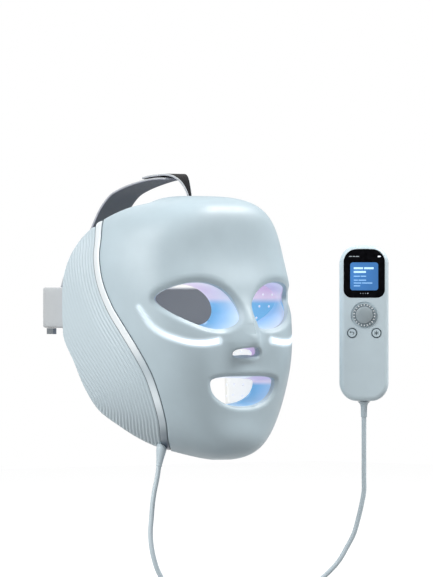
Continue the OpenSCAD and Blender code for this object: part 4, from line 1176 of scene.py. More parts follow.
def build_glands():
    """Sleeves that take the cord's bends where it leaves the mask and the controller."""
    s, face = in_mm(bpy.context.scene.strap_sizes), the_face()
    r = s.cord_d / 2
    grip = [
        (r + 0.35, -0.6), (r + 0.55, -0.3), (r + 0.55, 0.3), (r + 0.3, 0.6), (r + 0.3, 1.4), (r + 0.5, 1.7),
    ]
    flare = [
        (mix(r + 0.6, SLEEVE_R, ease(k / 9) * 0.55 + k / 9 * 0.45), 2 + k * 1.3) for k in range(10)
    ]
    sleeve = [(r - 0.2, -0.6)] + grip + flare + [(SLEEVE_R, SLEEVE_L)]
    points, faces = rings_between(lathe(sleeve))
    tilt = np.array(Vector((0, 0, 1)).rotation_difference(Vector(-GLAND_WAY)).to_matrix())
    gland = make_mesh("mask_gland", points @ tilt.T + np.array(MASK_ROUTE[0]), faces, 40)
    z = -0.9 * face.s.chin_h
    a = -face.angle_back(-MASK_ROUTE[0][1], z)
    spot = face.under(a, z, -SLEEVE_LIFT)
    bm = bmesh.new()
    bm.from_mesh(gland.data)
    out = face.outward(face.skin(a, z))
    whole = bm.verts[:] + bm.edges[:] + bm.faces[:]
    bmesh.ops.bisect_plane(
        bm, geom=whole, plane_co=Vector(spot * MM), plane_no=Vector(out), clear_inner=True
    )
    bmesh.ops.holes_fill(bm, edges=[e for e in bm.edges if e.is_boundary])
    bm.to_mesh(gland.data)
    bm.free()
    settle(gland, ROOT, finishes()["cord_jacket"], ("cord_gland",))

    hand = in_mm(bpy.context.scene.hand_sizes)
    points, faces = rings_between(lathe([(r, h - hand.hand_h / 2) for r, h in HAND_GLAND]))
    collar = make_mesh("controller_gland", held(points), faces, 40)
    settle(collar, ROOT, finishes()["cord_jacket"], ("hand_gland",))


# Mask

def the_face():
    """The mask's surface at the sizes that are set."""
    return Face(in_mm(bpy.context.scene.mask_sizes))


def loop_of(points):
    """The outer edge of a grid of points, as a dense line."""
    edge = np.concatenate([points[0], points[1:, -1], points[-1, ::-1], points[::-1, 0]])
    middle = (edge[:-1] + edge[1:]) / 2
    return np.concatenate([edge, middle])


def hole_lines(face, kind, e, depth):
    """Dense lines round an opening and its twin, if it has one, at the depth that depth gives."""
    x, z = face.hole_edge(kind, np.linspace(0, 360, 300, endpoint=False), e)
    a = np.sign(x) * face.angle_at(np.abs(x), z)
    line = face.under(a, z, depth(a, z))
    return [line] if kind in (NOSTRILS, MOUTH) else [line, mirrored(line)]


def guide_stations(count):
    """Middle, height and width along the strip under the left eye."""
    t = np.linspace(0, len(GUIDE_LINE) - 1, count)
    return [through(list(enumerate(p[k] for p in GUIDE_LINE)), t) for k in range(3)]


def strip_reach(face, points):
    """How far points lie outside the light strips."""
    x, z, w = guide_stations(70)
    line = face.skin(face.angle_at(face.s.eye_x + x, EYE_Z + z), EYE_Z + z)
    near = np.full(points.shape[:-1], 1e9)
    for side in (line, mirrored(line)):
        for p, half in zip(side, w / 2):
            near = np.minimum(near, np.linalg.norm(points - p, axis=-1) - half * 0.76)
    return near


def build_front_shell():
    """Front shell with rolled openings; the strips' light shows round them through its wall."""
    face = the_face()
    s = face.s
    grid = Grid(face, SHELL_HOLES, face.shell_angle, 1.15, 6)
    near_a, near_z = grid.knots(0)
    far_a, far_z = grid.knots(s.lip_t)
    flat = face.skin(near_a, near_z)
    depth = rolled(nearest(flat, loop_of(flat)), 0.5)
    radii = {EYE: s.roll, NOSTRILS: 0.4 * s.roll, MOUTH: 0.8 * s.roll}
    for kind, radius in radii.items():
        for line in hole_lines(face, kind, 0, lambda a, z: 0 * z):
            gap = nearest(flat, line)
            slope = 0.8 * np.clip(radius - gap, 0, radius)
            depth = np.maximum(depth, np.maximum(rolled(gap, 0.7 * radius), slope))
    lip = s.front_thick - 0.2
    sheets = [
        flat - depth[..., None] * face.outward(flat),
        face.under(far_a, far_z, s.shell_t + 0 * far_a),
        face.under(near_a, near_z, lip + 0 * near_a),
        face.under(far_a, far_z, lip + 0 * far_a),
    ]
    points, faces = solid_between(sheets, grid.keep(), (0, 2, 3, 1))
    glow = 0.4 * np.exp(-(np.maximum(strip_reach(face, flat), 0) / 1.5) ** 2).ravel()
    glow = np.concatenate([glow, np.zeros(3 * len(glow))])
    shell = make_mesh("face_shell", points, faces, 45, {"glow": glow})
    settle(shell, ROOT, finishes()["shell_plastic"], ("front_shell",))


def build_side_panels():
    """Side panels with ribs that run along the trim."""
    face = the_face()
    s = face.s
    top, low = face.upper_end(face.seam_w, 1, 2), face.lower_end(face.seam_w, 1, 1)
    rows, spans, rib_steps = 180, 70, 7
    z = np.linspace(top, low, rows)[:, None]

    def front_edge(height):
        return face.trim_angle(height) + face.trim_turn(height, face.seam_w)

    first, last = front_edge(z), face.rim_angle(z)
    dense = np.linspace(top + 5, low - 3, 500)
    line = face.skin(front_edge(dense), dense)
    table = first + (last - first) * np.linspace(0, 1, spans)[None, :]
    away = np.maximum.accumulate(nearest(face.skin(table, z), line), axis=1)
    away[:, 0] = 0
    columns = np.arange(0, away.max() + s.rib_pitch, s.rib_pitch / rib_steps)
    a = np.array([np.interp(columns, d, t) for d, t in zip(away, table)])
    left = np.maximum(away[:, -1:] - columns[None, :], 0)
    # The ribs fade out towards the rear rim and both ends, and lie flat in the middle of the panel
    groove = (0.5 + 0.5 * np.cos(2 * math.pi * columns / s.rib_pitch))[None, :] ** 1.2 * ease(left / 2.5)
    ends = np.minimum(top - z, z - low)
    groove = groove * ease(ends / 3) * (1 - 0.85 * ease((columns[None, :] - 3) / 22) * hill(z + 12, 46))
    depth = s.rib_h * groove + rolled(left, 0.5) + rolled(ends, 0.4)
    sheets = [face.under(a, z, depth), face.under(a, z, s.shell_t + 0 * a)]
    points, faces = sheet_solid(sheets)
    # The groove profile also sets the painted shade in the grooves
    tone = np.concatenate([groove.ravel(), np.zeros(a.size)])
    for side, turned in both_sides():
        panel = make_mesh(f"ribbed_panel_{side}", turned(points), faces, 50, {"groove": tone})
        settle(panel, ROOT, finishes()["panel_plastic"], (f"side_panel_{side}",))


def build_trim_bands():
    """Crowned bands between the front shell and the side panels."""
    face = the_face()
    s = face.s
    low_end = face.lower_end(s.trim_w / 2, -1, 1)

    def strip(half, crown, foot, roll):
        """Points and faces of a band along the trim's line, half wide on each side."""
        z = np.linspace(face.upper_end(half, -1, 1), low_end, 160)[:, None]
        t = -np.cos(np.linspace(0, math.pi, 13))[None, :]
        turn = face.trim_turn(z, half)
        t = np.minimum(t, np.clip((face.rim_angle(z) - face.trim_angle(z)) / turn, -1, 1))
        a = face.trim_angle(z) + t * turn
        ends = rolled(np.minimum(z[0] - z, z - low_end), roll)
        depth = foot - 1 - crown * np.sqrt(1 - t ** 2 * 0.98) + ends
        return sheet_solid([face.under(a, z, depth), face.under(a, z, foot + 0 * a)])

    band = strip(s.trim_w / 2 - 0.45, 0.3, 1.1, 0.5)
    bed = strip(s.trim_w / 2 + s.seam_gap - 0.05, 0.0, 1.3, 0.3)
    kit = finishes()
    for side, turned in both_sides():
        parts = Parts()
        parts.add(turned(band[0]), band[1])
        parts.add(turned(bed[0]), bed[1], 1)
        trim = parts.make(f"trim_{side}", 60)
        settle(trim, ROOT, [kit["trim_silver"], kit["seam_shade"]], (f"trim_band_{side}",))


def within(x, z, px, pz):
    """Whether points lie in a closed outline."""
    hit = np.zeros(np.shape(x), bool)
    for x0, z0, x1, z1 in zip(px, pz, np.roll(px, -1), np.roll(pz, -1)):
        if z0 != z1:
            crosses = ((z0 > z) != (z1 > z)) & (x < (x1 - x0) * (z - z0) / (z1 - z0) + x0)
            hit = hit ^ crosses
    return hit


# Room between a lens and an opening, or the liner's edge; and how a cold plate's outline is grown
LENS_CLEAR, LENS_EDGE, PLATE_WIDER, PLATE_TALLER = 5.2, 5, 1.14, 1.9


def lens_places(face, edge):
    """Angles and heights of the liner's small lenses, in staggered rows clear of its openings."""
    s = face.s
    found = []
    # Rows from close to the top edge down to the chin, a little closer together than the lenses in them
    heights = np.arange(0.86 * s.top_h, -0.93 * s.chin_h, -0.87 * s.dot_pitch)
    around = np.linspace(0, 360, 120, endpoint=False)
    shapes = [face.hole_edge(kind, around, LENS_CLEAR) for kind in (EYE, NOSTRILS, MOUTH)]
    px, pz = face.hole_edge(PLATE, around, 0)
    shapes.append((px * PLATE_WIDER, (pz - face.plate_z) * PLATE_TALLER + face.plate_z))
    for row, z in enumerate(heights):
        angles = np.linspace(0, float(face.rim_angle(z)), 300)
        run = face.under(angles, z + 0 * angles, face.liner_depth(angles, z + 0 * angles))
        away = np.append(0, np.cumsum(np.linalg.norm(np.diff(run, axis=0), axis=1)))
        wanted = np.arange(0.5 * (row % 2) * s.dot_pitch, away[-1], s.dot_pitch)
        for a in np.interp(wanted, away, angles):
            q = face.under(a, z, face.liner_depth(a, z))
            x = abs(face.skin(a, z)[0])
            blocked = any(within(x, z, px, pz) for px, pz in shapes)
            if not blocked and np.linalg.norm(edge - q, axis=1).min() > LENS_EDGE:
                found += [(a, z)] if a < 0.01 else [(a, z), (-a, z)]
    return found


# Wall of an opening's rim, how far it narrows and how far an eye's sweeps back; then the rings of
# its inner and outer face, where each ends ahead of the rear rim, and how strong the painted pale glow is
# where it starts and ends
RIM_WALL, RIM_IN, RIM_SWEEP = 1.2, 2.5, 14
RIM_INNER, RIM_OUTER = 8, 4
RIM_BACK = {EYE: 100, NOSTRILS: 121, MOUTH: 101}
RIM_PAINTED_GLOW = {EYE: (0.85, 0.0), NOSTRILS: (0.4, 0.8), MOUTH: (0.4, 0.8)}


def opening_rim(face, kind):
    """Rings of the wall that narrows from an opening of the liner towards the wearer."""
    s = face.s
    turn = np.linspace(0, 360, 240, endpoint=False)
    narrow = RIM_IN * (0.3 if kind == NOSTRILS else 1)

    def line(e):
        x, z = face.hole_edge(kind, turn, e)
        return face.angle_at(x, z), z

    def start(e, share):
        a, z = line(e)
        return face.under(a, z, face.liner_depth(a, z) - share * s.liner_t)

    def end(e, ahead):
        q = face.skin(*line(e))
        sweep = RIM_SWEEP * (np.abs(q[:, 0]) - s.eye_x + s.eye_w / 2) / s.eye_w
        q[:, 1] = -(RIM_BACK[kind] - (sweep if kind == EYE else 0)) - ahead
        return q

    near, far = start(s.lip_t + LIP_GAP, 0.7), start(s.lip_t + LIP_GAP + RIM_WALL, 0.3)
    tip, outer = end(-narrow, 0.4), end(RIM_WALL - narrow, 0.4)
    inner = [mix(near, tip, t) for t in np.linspace(0, 1, RIM_INNER)]
    rounding = [end(-narrow + 0.12, 0.1), end(RIM_WALL / 2 - narrow, 0), end(RIM_WALL - narrow - 0.12, 0.1)]
    return inner + rounding + [mix(outer, far, t) for t in np.linspace(0, 1, RIM_OUTER)]


def build_liner():
    """Lit liner against the wearer's side, with a small lens over each light."""
    face = the_face()
    s = face.s
    grid = Grid(face, LINER_HOLES, face.rim_angle, 1.3, 4)
    grown = s.lip_t + LIP_GAP
    a, z = grid.knots(grown)
    whole = face.liner_depth(a, z)
    middle = face.under(a, z, whole - s.liner_t / 2)
    edge = loop_of(middle)
    away = nearest(middle, edge)
    for kind in (EYE, NOSTRILS, MOUTH, PLATE):
        for line in hole_lines(face, kind, grown, lambda p, q: face.liner_depth(p, q) - s.liner_t / 2):
            away = np.minimum(away, nearest(middle, line))
    roll = rolled(away, 0.8)
    sheets = [face.under(a, z, whole - s.liner_t + roll), face.under(a, z, whole - roll)]
    points, faces = solid_between(sheets, grid.keep())
    parts = Parts()
    parts.add(points, faces)
    for kind in RIM_BACK:
        rings = opening_rim(face, kind)
        points, faces = rings_between(rings, True)
        most, tip = RIM_PAINTED_GLOW[kind]
        fade = [most * (1 - k / (RIM_INNER - 1)) ** 1.4 for k in range(RIM_INNER)]
        tips = [tip] * (len(rings) - RIM_INNER - RIM_OUTER)
        pale = np.repeat(fade + tips + [0.0] * RIM_OUTER, len(rings[0]))
        # Round the nostrils and most of the mouth the rims get a strong painted pale glow, standing in for
        # light seen through these openings
        if kind != EYE:
            last = 7 if kind == NOSTRILS else np.where(points[:, 2] > -s.mouth_drop, 27, 2)
            pale = np.maximum(pale, 0.95 * ease((last - points[:, 0]) / 6))
        parts.add(points, faces, 0, pale)
        if kind == EYE:
            parts.add(mirrored(points), faces, 0, pale)
    turn = np.linspace(0, 2 * math.pi, 10, endpoint=False)
    r = s.dot_d / 2
    for p, q in lens_places(face, edge):
        spot = face.under(p, q, face.liner_depth(p, q))
        up = -face.outward(face.skin(p, q))
        across = unit(np.cross(up, [0, 0, 1.0]))
        beside = np.cross(up, across)
        rings = [
            spot + up * h + w * r * (np.cos(turn)[:, None] * across + np.sin(turn)[:, None] * beside)
            for w, h in ((1, -0.2), (1, 0.05), (0.85, 0.3), (0.5, 0.48), (0.12, 0.52))
        ]
        parts.add(*rings_between(rings), 1)
    liner = parts.make("lit_liner", 50)
    kit = finishes()
    settle(liner, ROOT, [kit["liner_plastic"], kit["lens"]], ("inner_liner",))


def build_light_strips():
    """Curved strips of light under the eyes, just proud of the shell's face."""
    face = the_face()
    s = face.s
    count, half, share, nose_r, proud, sunk = 80, 5, 0.8, 1.2, 0.12, 3.0
    x, z, w = guide_stations(count)
    w = share * w
    step = np.append(0, np.cumsum(np.hypot(np.diff(x), np.diff(z))))
    w = w * np.sqrt(np.clip(1 - (1 - np.clip(step / nose_r, 0, 1)) ** 2, 0.02, 1))
    t = np.sin(np.linspace(-math.pi / 2, math.pi / 2, 2 * half + 1))[:, None]
    height = EYE_Z + z[None, :] + t * w[None, :] / 2
    a = face.angle_at(s.eye_x + x[None, :] + 0 * t, height)
    edge = np.minimum((1 - np.abs(t)) * w[None, :] / 2, (step[-1] - step)[None, :])
    sheets = [face.under(a, height, rolled(edge, 0.3) - proud), face.under(a, height, sunk + 0 * a)]
    points, faces = sheet_solid(sheets)
    glow = np.tile((0 * t + ease(step / step[-1] * 1.3) * 0.8 + 0.2).ravel(), 2)
    for side, turned in both_sides():
        strip = make_mesh(f"light_strip_{side}", turned(points), faces, 50, {"glow": glow})
        settle(strip, ROOT, finishes()["light_guide"], (f"light_guide_{side}",))


def build_cold_plates():
    """Polished plates in the liner that cool the skin under the eyes."""
    face = the_face()
    s = face.s
    half_l, half_h = PLATE_L / 2 - PLATE_GAP, PLATE_H / 2 - PLATE_GAP
    x = face.plate_x + np.linspace(-1, 1, 41)[None, :] * half_l
    z = face.plate_z + np.linspace(1, -1, 15)[:, None] * half_h
    x, z = np.broadcast_arrays(x, z)
    a = face.angle_at(x, z)
    edge = np.minimum(half_l - np.abs(x - face.plate_x), half_h - np.abs(z - face.plate_z))
    whole = face.liner_depth(a, z)
    sheets = [face.under(a, z, whole - s.liner_t + 0.1), face.under(a, z, whole + 0.6 - rolled(edge, 0.9))]
    points, faces = sheet_solid(sheets)
    for side, turned in both_sides():
        plate = make_mesh(f"cooling_plate_{side}", turned(points), faces, 40)
        settle(plate, ROOT, finishes()["cold_plate_metal"], (f"cold_plate_{side}",))


# Straps

# Place ahead of the rear rim, height and half width along the top strap and along its tab
TOP_LINE = [
    (-86, 13.4, 17), (-82, 22, 17), (-75, 32, 17), (-64, 44, 17), (-50, 58.6, 17), (-43, 69, 17),
    (-35, 80, 17), (-23, 90.5, 17), (-11, 95.6, 17), (1, 99, 17), (13, 101.6, 16.5), (25, 103.6, 15.5),
    (36, 104.4, 14), (43, 104.2, 12),
]
TAB_LINE = [
    (19, 105, 17), (27, 106.4, 16.5), (35, 107.2, 14.5), (42, 107.6, 12), (48, 106.2, 8.8), (53, 102.8, 6),
    (56.6, 98, 4), (59, 93, 2.8), (60.4, 88.8, 2.2),
]
# Height of the back strap, where its round loop starts, where its ends lie and how far in
STRAP_Z, LOOP_START, LOOP_FRONT, LOOP_IN = -4.0, 5.0, -23, 2.5


def flat_section(half, t, ends=5):
    """Section of a strap from -half to half, t thick, its long edges round, and what each side is."""
    r = t / 2
    turn = np.linspace(-90, 90, ends)
    across = np.linspace(-half + r, half - r, 9)
    outer = [(x, r) for x in across[1:-1]]
    inner = [(x, -r) for x in across[::-1][1:-1]]
    right = [(half - r + r * cosd(a), -r * sind(a)) for a in turn]
    left = [(-half + r - r * cosd(a), r * sind(a)) for a in turn]
    ring = outer + right + inner + left
    kinds = ["outer"] * len(outer) + ["edge"] * (len(right) - 1)
    kinds += ["inner"] * (len(inner) + 1) + ["edge"] * (len(left) - 1)
    return ring, kinds + ["outer"] * (len(ring) - len(kinds))


def strap_piece(name, middle, outward, across, half, t, finish_of):
    """A strap along a line, half wide to each side, with the finish of each of its sides."""
    rings, kinds = [], None
    for p, out, side, h in zip(middle, outward, across, half):
        section, kinds = flat_section(h, t)
        rings.append([p + side * u + out * v for u, v in section])
    points, faces = rings_between(rings)
    n, count = len(rings[0]), len(rings)
    finish = [finish_of[kinds[k % n]] for k in range(n * (count - 1))] + [finish_of["edge"]] * 2
    parts = Parts()
    parts.add(points, faces, finish)
    return parts.make(name, 50)


def build_straps():
    """Back strap round the head, top strap over it and the hook tab at its end."""
    s, m = in_mm(bpy.context.scene.strap_sizes), in_mm(bpy.context.scene.mask_sizes)
    kit = finishes()
    loop_x = m.half_w - m.side_thick - LOOP_IN
    f = np.linspace(0, 180, 97)
    x = loop_x * bend(cosd(f), 0.9)
    y = LOOP_START + (s.loop_back - LOOP_START) * bend(sind(f), 0.9)
    lead = np.linspace(LOOP_FRONT, LOOP_START, 12)[:-1]
    line = np.concatenate([
        np.stack([loop_x + 0 * lead, lead, STRAP_Z + 0 * lead], axis=1),
        np.stack([x, y, STRAP_Z + 0 * x], axis=1),
        np.stack([-loop_x + 0 * lead, lead[::-1], STRAP_Z + 0 * lead], axis=1),
    ])
    way = unit(np.gradient(line, axis=0))
    up = np.array([0, 0, 1.0])
    out = np.cross(way, up)
    middle = line - out * s.strap_t / 2
    half = np.full(len(line), s.strap_w / 2)
    sides = np.tile(up, (len(line), 1))
    lined, edged = {"outer": 0, "edge": 0, "inner": 1}, {"outer": 0, "edge": 1, "inner": 0}
    back = strap_piece("back_strap_webbing", middle, out, sides, half, s.strap_t, lined)
    settle(back, ROOT, [kit["strap_fabric"], kit["back_lining"]], ("back_strap",))

    for name, line, slot, second, sorts, node_name in (
        ("top_strap_webbing", TOP_LINE, "strap_fabric", "strap_lining", lined, "top_strap"),
        ("hook_tab", TAB_LINE, "tab_fabric", "strap_fabric", edged, "top_strap_tab"),
    ):
        smooth = smooth_line([(0, -y, z) for y, z, _ in line], 8)
        along = np.linspace(0, len(line) - 1, len(smooth))
        half = np.interp(along, np.arange(len(line)), [h for *_, h in line])
        way = unit(np.gradient(smooth, axis=0))
        sides = np.tile([1.0, 0, 0], (len(smooth), 1))
        out = np.cross(way, sides)
        out = np.where(out[:, 2:3] < 0, -out, out)
        piece = strap_piece(name, smooth, out, sides, half, s.top_strap_t, sorts)
        settle(piece, ROOT, [kit[slot], kit[second]], (node_name,))


# Controller

# Middle of the controller and its turn; then places on it, from that middle, and sizes
HAND_AT, HAND_TURN = (119, -147, -17), math.radians(42)
WALL_Y, BOARD_Y = 8.0, -2.6
WINDOW_Z, SCREEN_Z, DIAL_Z, BUTTON_Z, SOCKET_Z = 41.8, 39.3, 6.8, -8.2, -34.0
DIAL_RECESS, DIAL_SHAFT, PRESS = 22.5, 5.0, 0.4
POST_X, POST_Z, HEAD_R, GLAND_NECK = 13.5, 57.0, 2.3, 6.6
# The case's ends are bowed, and its corners a little wider than its size says
CASE_BOW, CASE_LOW_BOW, CASE_CORNER = 2.4, 2.0, 2
# Corners of the window above and below, and the bow of its upper edge
WINDOW_R, WINDOW_LOW_R, WINDOW_BOW = 9.5, 6.5, 1.3
# Half height and depth of the charging opening, and the small edge where the halves meet
PORT_HALF, PORT_DEEP, SEAM_EDGE = 4.7, 3.6, 0.25


def held(points):
    """Points from the controller's own frame, -y out of its face, set into the shared frame."""
    p = np.asarray(points, float)
    c, s = math.cos(HAND_TURN), math.sin(HAND_TURN)
    x, y = p[..., 0], p[..., 1]
    return np.stack([HAND_AT[0] + c * x + s * y, HAND_AT[1] - s * x + c * y, HAND_AT[2] + p[..., 2]], axis=-1)


def points_of(obj):
    """A piece's points in millimetres."""
    return np.array([v.co for v in obj.data.vertices]) / MM


def hold(obj):
    """Sets a piece that was made in the controller's own frame in its place."""
    obj.data.vertices.foreach_set("co", (held(points_of(obj)) * MM).ravel())


def facing(points):
    """Turns a form that stands along +Z to stand out of the controller's face, along -Y."""
    p = np.asarray(points, float)
    return np.stack([p[..., 0], -p[..., 2], p[..., 1]], axis=-1)


def rounded(w, h, r, steps=10, arch=0.0, low_r=None, low_arch=0.0):
    """Outline of a rounded rectangle, its upper and lower edges bowed by arch and low_arch."""
    ring = []
    for cx, cz, a0 in ((1, 1, 0), (-1, 1, 90), (-1, -1, 180), (1, -1, 270)):
        c = r if cz > 0 or low_r is None else low_r
        bow = arch if cz > 0 else low_arch
        for a in np.linspace(a0, a0 + 90, steps):
            x, z = cx * (w / 2 - c) + c * cosd(a), cz * (h / 2 - c) + c * sind(a)
            ring.append((float(x), float(z - cz * bow * (x / (w / 2)) ** 2)))
        if bow and cx == cz:
            for x in np.linspace(w / 2 - c, -w / 2 + c, 9)[1:-1]:
                ring.append((float(cx * x), float(cz * (h / 2 - bow * (x / (w / 2)) ** 2))))
    return ring


def lifted(outline, z):
    """An outline set z higher."""
    return [(x, height + z) for x, height in outline]


def case_outline(h, inset):
    """Outline of the controller, drawn in by inset."""
    w, height = h.hand_w - 2 * inset, h.hand_h - 2 * inset
    return rounded(w, height, h.hand_r + CASE_CORNER - inset, 14, CASE_BOW, None, CASE_LOW_BOW)


def window_outline(h, spare):
    """Outline of the display window, spare wider and taller."""
    r, low_r = WINDOW_R + spare / 2, WINDOW_LOW_R + spare / 2
    return lifted(rounded(h.window_w + spare, h.window_h + spare, r, 12, WINDOW_BOW, low_r), WINDOW_Z)


def screen_outline(h, spare, r):
    """Outline of the lit screen, spare wider and taller, with corners of radius r."""
    return lifted(rounded(h.screen_w + spare, h.screen_w + spare, r), SCREEN_Z)


def prism(outline, y0, y1):
    """Solid of a flat outline in x and z, from y0 back to y1."""
    return rings_between([[(x, y, z) for x, z in outline] for y in (y0, y1)])


def disc(r, x, z, y0, y1, sides=64):
    """Round solid about x and z, from y0 back to y1."""
    turn = np.linspace(0, 2 * math.pi, sides, endpoint=False)
    return prism([(x + r * math.cos(a), z + r * math.sin(a)) for a in turn], y0, y1)


def cut(obj, cutters):
    """Takes closed forms out of a piece, one after the other."""
    for k, (points, faces) in enumerate(cutters):
        tool = make_mesh(f"cutter_{k}", points, faces)
        step = obj.modifiers.new(f"cut_{k}", "BOOLEAN")
        step.operation, step.solver, step.object = "DIFFERENCE", "EXACT", tool
    seen = bpy.context.evaluated_depsgraph_get()
    mesh = bpy.data.meshes.new_from_object(obj.evaluated_get(seen))
    tools = [m.object for m in obj.modifiers]
    obj.modifiers.clear()
    old, obj.data = obj.data, mesh
    bpy.data.meshes.remove(old)
    for tool in tools:
        bpy.data.objects.remove(tool)
    bm = bmesh.new()
    bm.from_mesh(mesh)
    bmesh.ops.remove_doubles(bm, verts=bm.verts, dist=2 * WELD)
    bmesh.ops.dissolve_degenerate(bm, edges=bm.edges, dist=2 * WELD)
    bm.to_mesh(mesh)
    bm.free()
    mesh.name = obj.name


def bevel(obj, width, angle):
    """Rounds the edges of a piece that turn by more than an angle."""
    edge = obj.modifiers.new("soft_edges", "BEVEL")
    edge.width, edge.segments, edge.limit_method = width, 2, "ANGLE"
    edge.angle_limit, edge.use_clamp_overlap = math.radians(angle), True
    return edge


def soften(obj, width, angle=50):
    """Rounds a piece's sharp edges and keeps its flat faces flat."""
    bevel(obj, width, angle).miter_outer = "MITER_ARC"
    obj.data.shade_smooth()
    obj.modifiers.new("flat_faces", "WEIGHTED_NORMAL").keep_sharp = True


def half_case(h, side):
    """One half of the controller's case, closed, from its parting plane out along side."""
    e = h.hand_edge
    turns = np.linspace(0, 90, 9)
    levels = [(0.0, SEAM_EDGE), (SEAM_EDGE, 0.0)]
    levels += [(h.hand_d / 2 - e + e * sind(a), e * (1 - cosd(a))) for a in turns]
    return rings_between([[(x, side * y, z) for x, z in case_outline(h, inset)] for y, inset in levels])


def case_cuts(h, side):
    """What both halves lose: the hollow, the charging opening and the cord's."""
    y = BOARD_Y + 1.75
    x0, x1 = -h.hand_w / 2 - 1, -h.hand_w / 2 + 3
    z0, z1 = SOCKET_Z - PORT_HALF, SOCKET_Z + PORT_HALF
    port = prism([(x0, z0), (x1, z0), (x1, z1), (x0, z1)], y, y + PORT_DEEP)
    neck_r, low = GLAND_NECK / 2 + 0.2, -h.hand_h / 2
    neck = rings_between(lathe([(neck_r, low - 1), (neck_r, low + 3)]))
    return [prism(case_outline(h, h.hand_wall), -side, side * WALL_Y), port, neck]


def build_case():
    """Front housing and back cover of the hand controller."""
    h = in_mm(bpy.context.scene.hand_sizes)
    kit = finishes()
    front = make_mesh("controller_front", *half_case(h, -1))
    face_y = -h.hand_d / 2
    front_cuts = [
        prism(window_outline(h, 0.3), face_y - 1, face_y + 1.3),
        prism(screen_outline(h, 2, 2), face_y - 1, face_y + 4),
        disc(DIAL_RECESS / 2, 0, DIAL_Z, face_y - 1, face_y + 1, 96),
        disc(2.8, 0, DIAL_Z, face_y - 1, face_y + 4),
    ]
    for k in (-1, 1):
        hole_r, x = h.button_d / 2 + 0.25, k * h.button_pitch / 2
        front_cuts.append(disc(hole_r, x, BUTTON_Z, face_y - 1, face_y + 4))
    cut(front, case_cuts(h, -1) + front_cuts)
    back = make_mesh("controller_back", *half_case(h, 1))
    corners = [(i * POST_X, k * POST_Z) for i in (-1, 1) for k in (-1, 1)]
    heads = [disc(HEAD_R, x, z, h.hand_d / 2 - 1.8, h.hand_d / 2 + 1, 32) for x, z in corners]
    cut(back, case_cuts(h, 1) + heads)
    for obj, node_name in ((front, "front_housing"), (back, "back_cover")):
        hold(obj)
        soften(obj, 0.00028)
        settle(obj, ROOT, kit["controller_plastic"], (node_name,))


def bar(x0, z0, x1, z1, w):
    """Outline of a straight stroke."""
    p, q = np.array([x0, z0]), np.array([x1, z1])
    way = (q - p) / np.linalg.norm(q - p)
    side = np.array([-way[1], way[0]]) * w / 2
    return [tuple(p + side), tuple(p - side), tuple(q - side), tuple(q + side)]


def stroke(points, w):
    """Outlines of the bars of a bent line."""
    return [bar(*p, *q, w) for p, q in zip(points, points[1:])]


# Plain marks: the bars in the window's corner from x to x, the dots under the screen with their
# finish, and the screen's bars from x to x at a height, by thickness and finish
CORNER_BARS = [(-12.6, -10.2), (-9.7, -7.4), (-7.0, -4.4)]
PAGE_DOTS = [(-3, 2), (-1, 2), (1, 2), (3, 1)]
SCREEN_BARS = {
    (1.6, 1): [(-8.8, -1.0, 6.8), (-0.1, 7.9, 6.8), (-8.8, 1.4, 3.7)],
    (0.8, 2): [
        (-8.8, -3.6, 0.1), (-3.0, 1.6, 0.1), (-8.8, -5.4, -3.2), (-4.8, 1.6, -3.2),
        (-8.8, -2.6, -5.6), (-2.0, 6.8, -5.6), (-8.8, -3.4, -8.0),
    ],
}


def build_display():
    """Black window with the lit screen set in it, and its plain marks."""
    h = in_mm(bpy.context.scene.hand_sizes)
    kit = finishes()
    face_y = -h.hand_d / 2
    front_y = face_y + 0.05
    window = make_mesh("display_glass", *prism(window_outline(h, 0), front_y, face_y + 1.25))
    cut(window, [prism(screen_outline(h, 0.1, 2.4), face_y - 1, face_y + 3)])
    parts = Parts()
    parts.add(points_of(window), [tuple(p.vertices) for p in window.data.polygons])
    bpy.data.objects.remove(window)
    x, z = 12.6, WINDOW_Z + h.window_h / 2 - 6.2

    mark_y = (front_y - 0.03, front_y + 0.05)

    def mark(outline, finish=1):
        parts.add(*prism(outline, *mark_y), finish)

    mark(bar(x - 1.2, z, x + 0.9, z, 1.1))
    mark(bar(x + 1.05, z, x + 1.3, z, 0.5))
    for x0, x1 in CORNER_BARS:
        mark(bar(x0, z, x1, z, 0.65), 2)
    low = WINDOW_Z - h.window_h / 2 + 3.6
    for x, finish in PAGE_DOTS:
        parts.add(*disc(0.32, x, low, *mark_y, 12), finish)
    glass = parts.make("display_glass", 40)
    hold(glass)
    glass_kit = [kit["window_gloss"], kit["pale_mark"], kit["soft_mark"]]
    settle(glass, ROOT, glass_kit, ("display_window",))

    parts = Parts()
    back_y = -WALL_Y + 0.25 + 1.8
    parts.add(*prism(screen_outline(h, 0, 2.35), front_y + 0.02, back_y))
    for (thick, finish), bars in SCREEN_BARS.items():
        for x0, x1, z in bars:
            outline = bar(x0, SCREEN_Z + z, x1, SCREEN_Z + z, thick)
            parts.add(*prism(outline, front_y - 0.01, front_y + 0.1), finish)
    screen = parts.make("lit_screen", 40)
    hold(screen)
    screen_kit = [kit["display_blue"], kit["line_mark"], kit["dim_mark"]]
    settle(screen, ROOT, screen_kit, ("display_panel",))


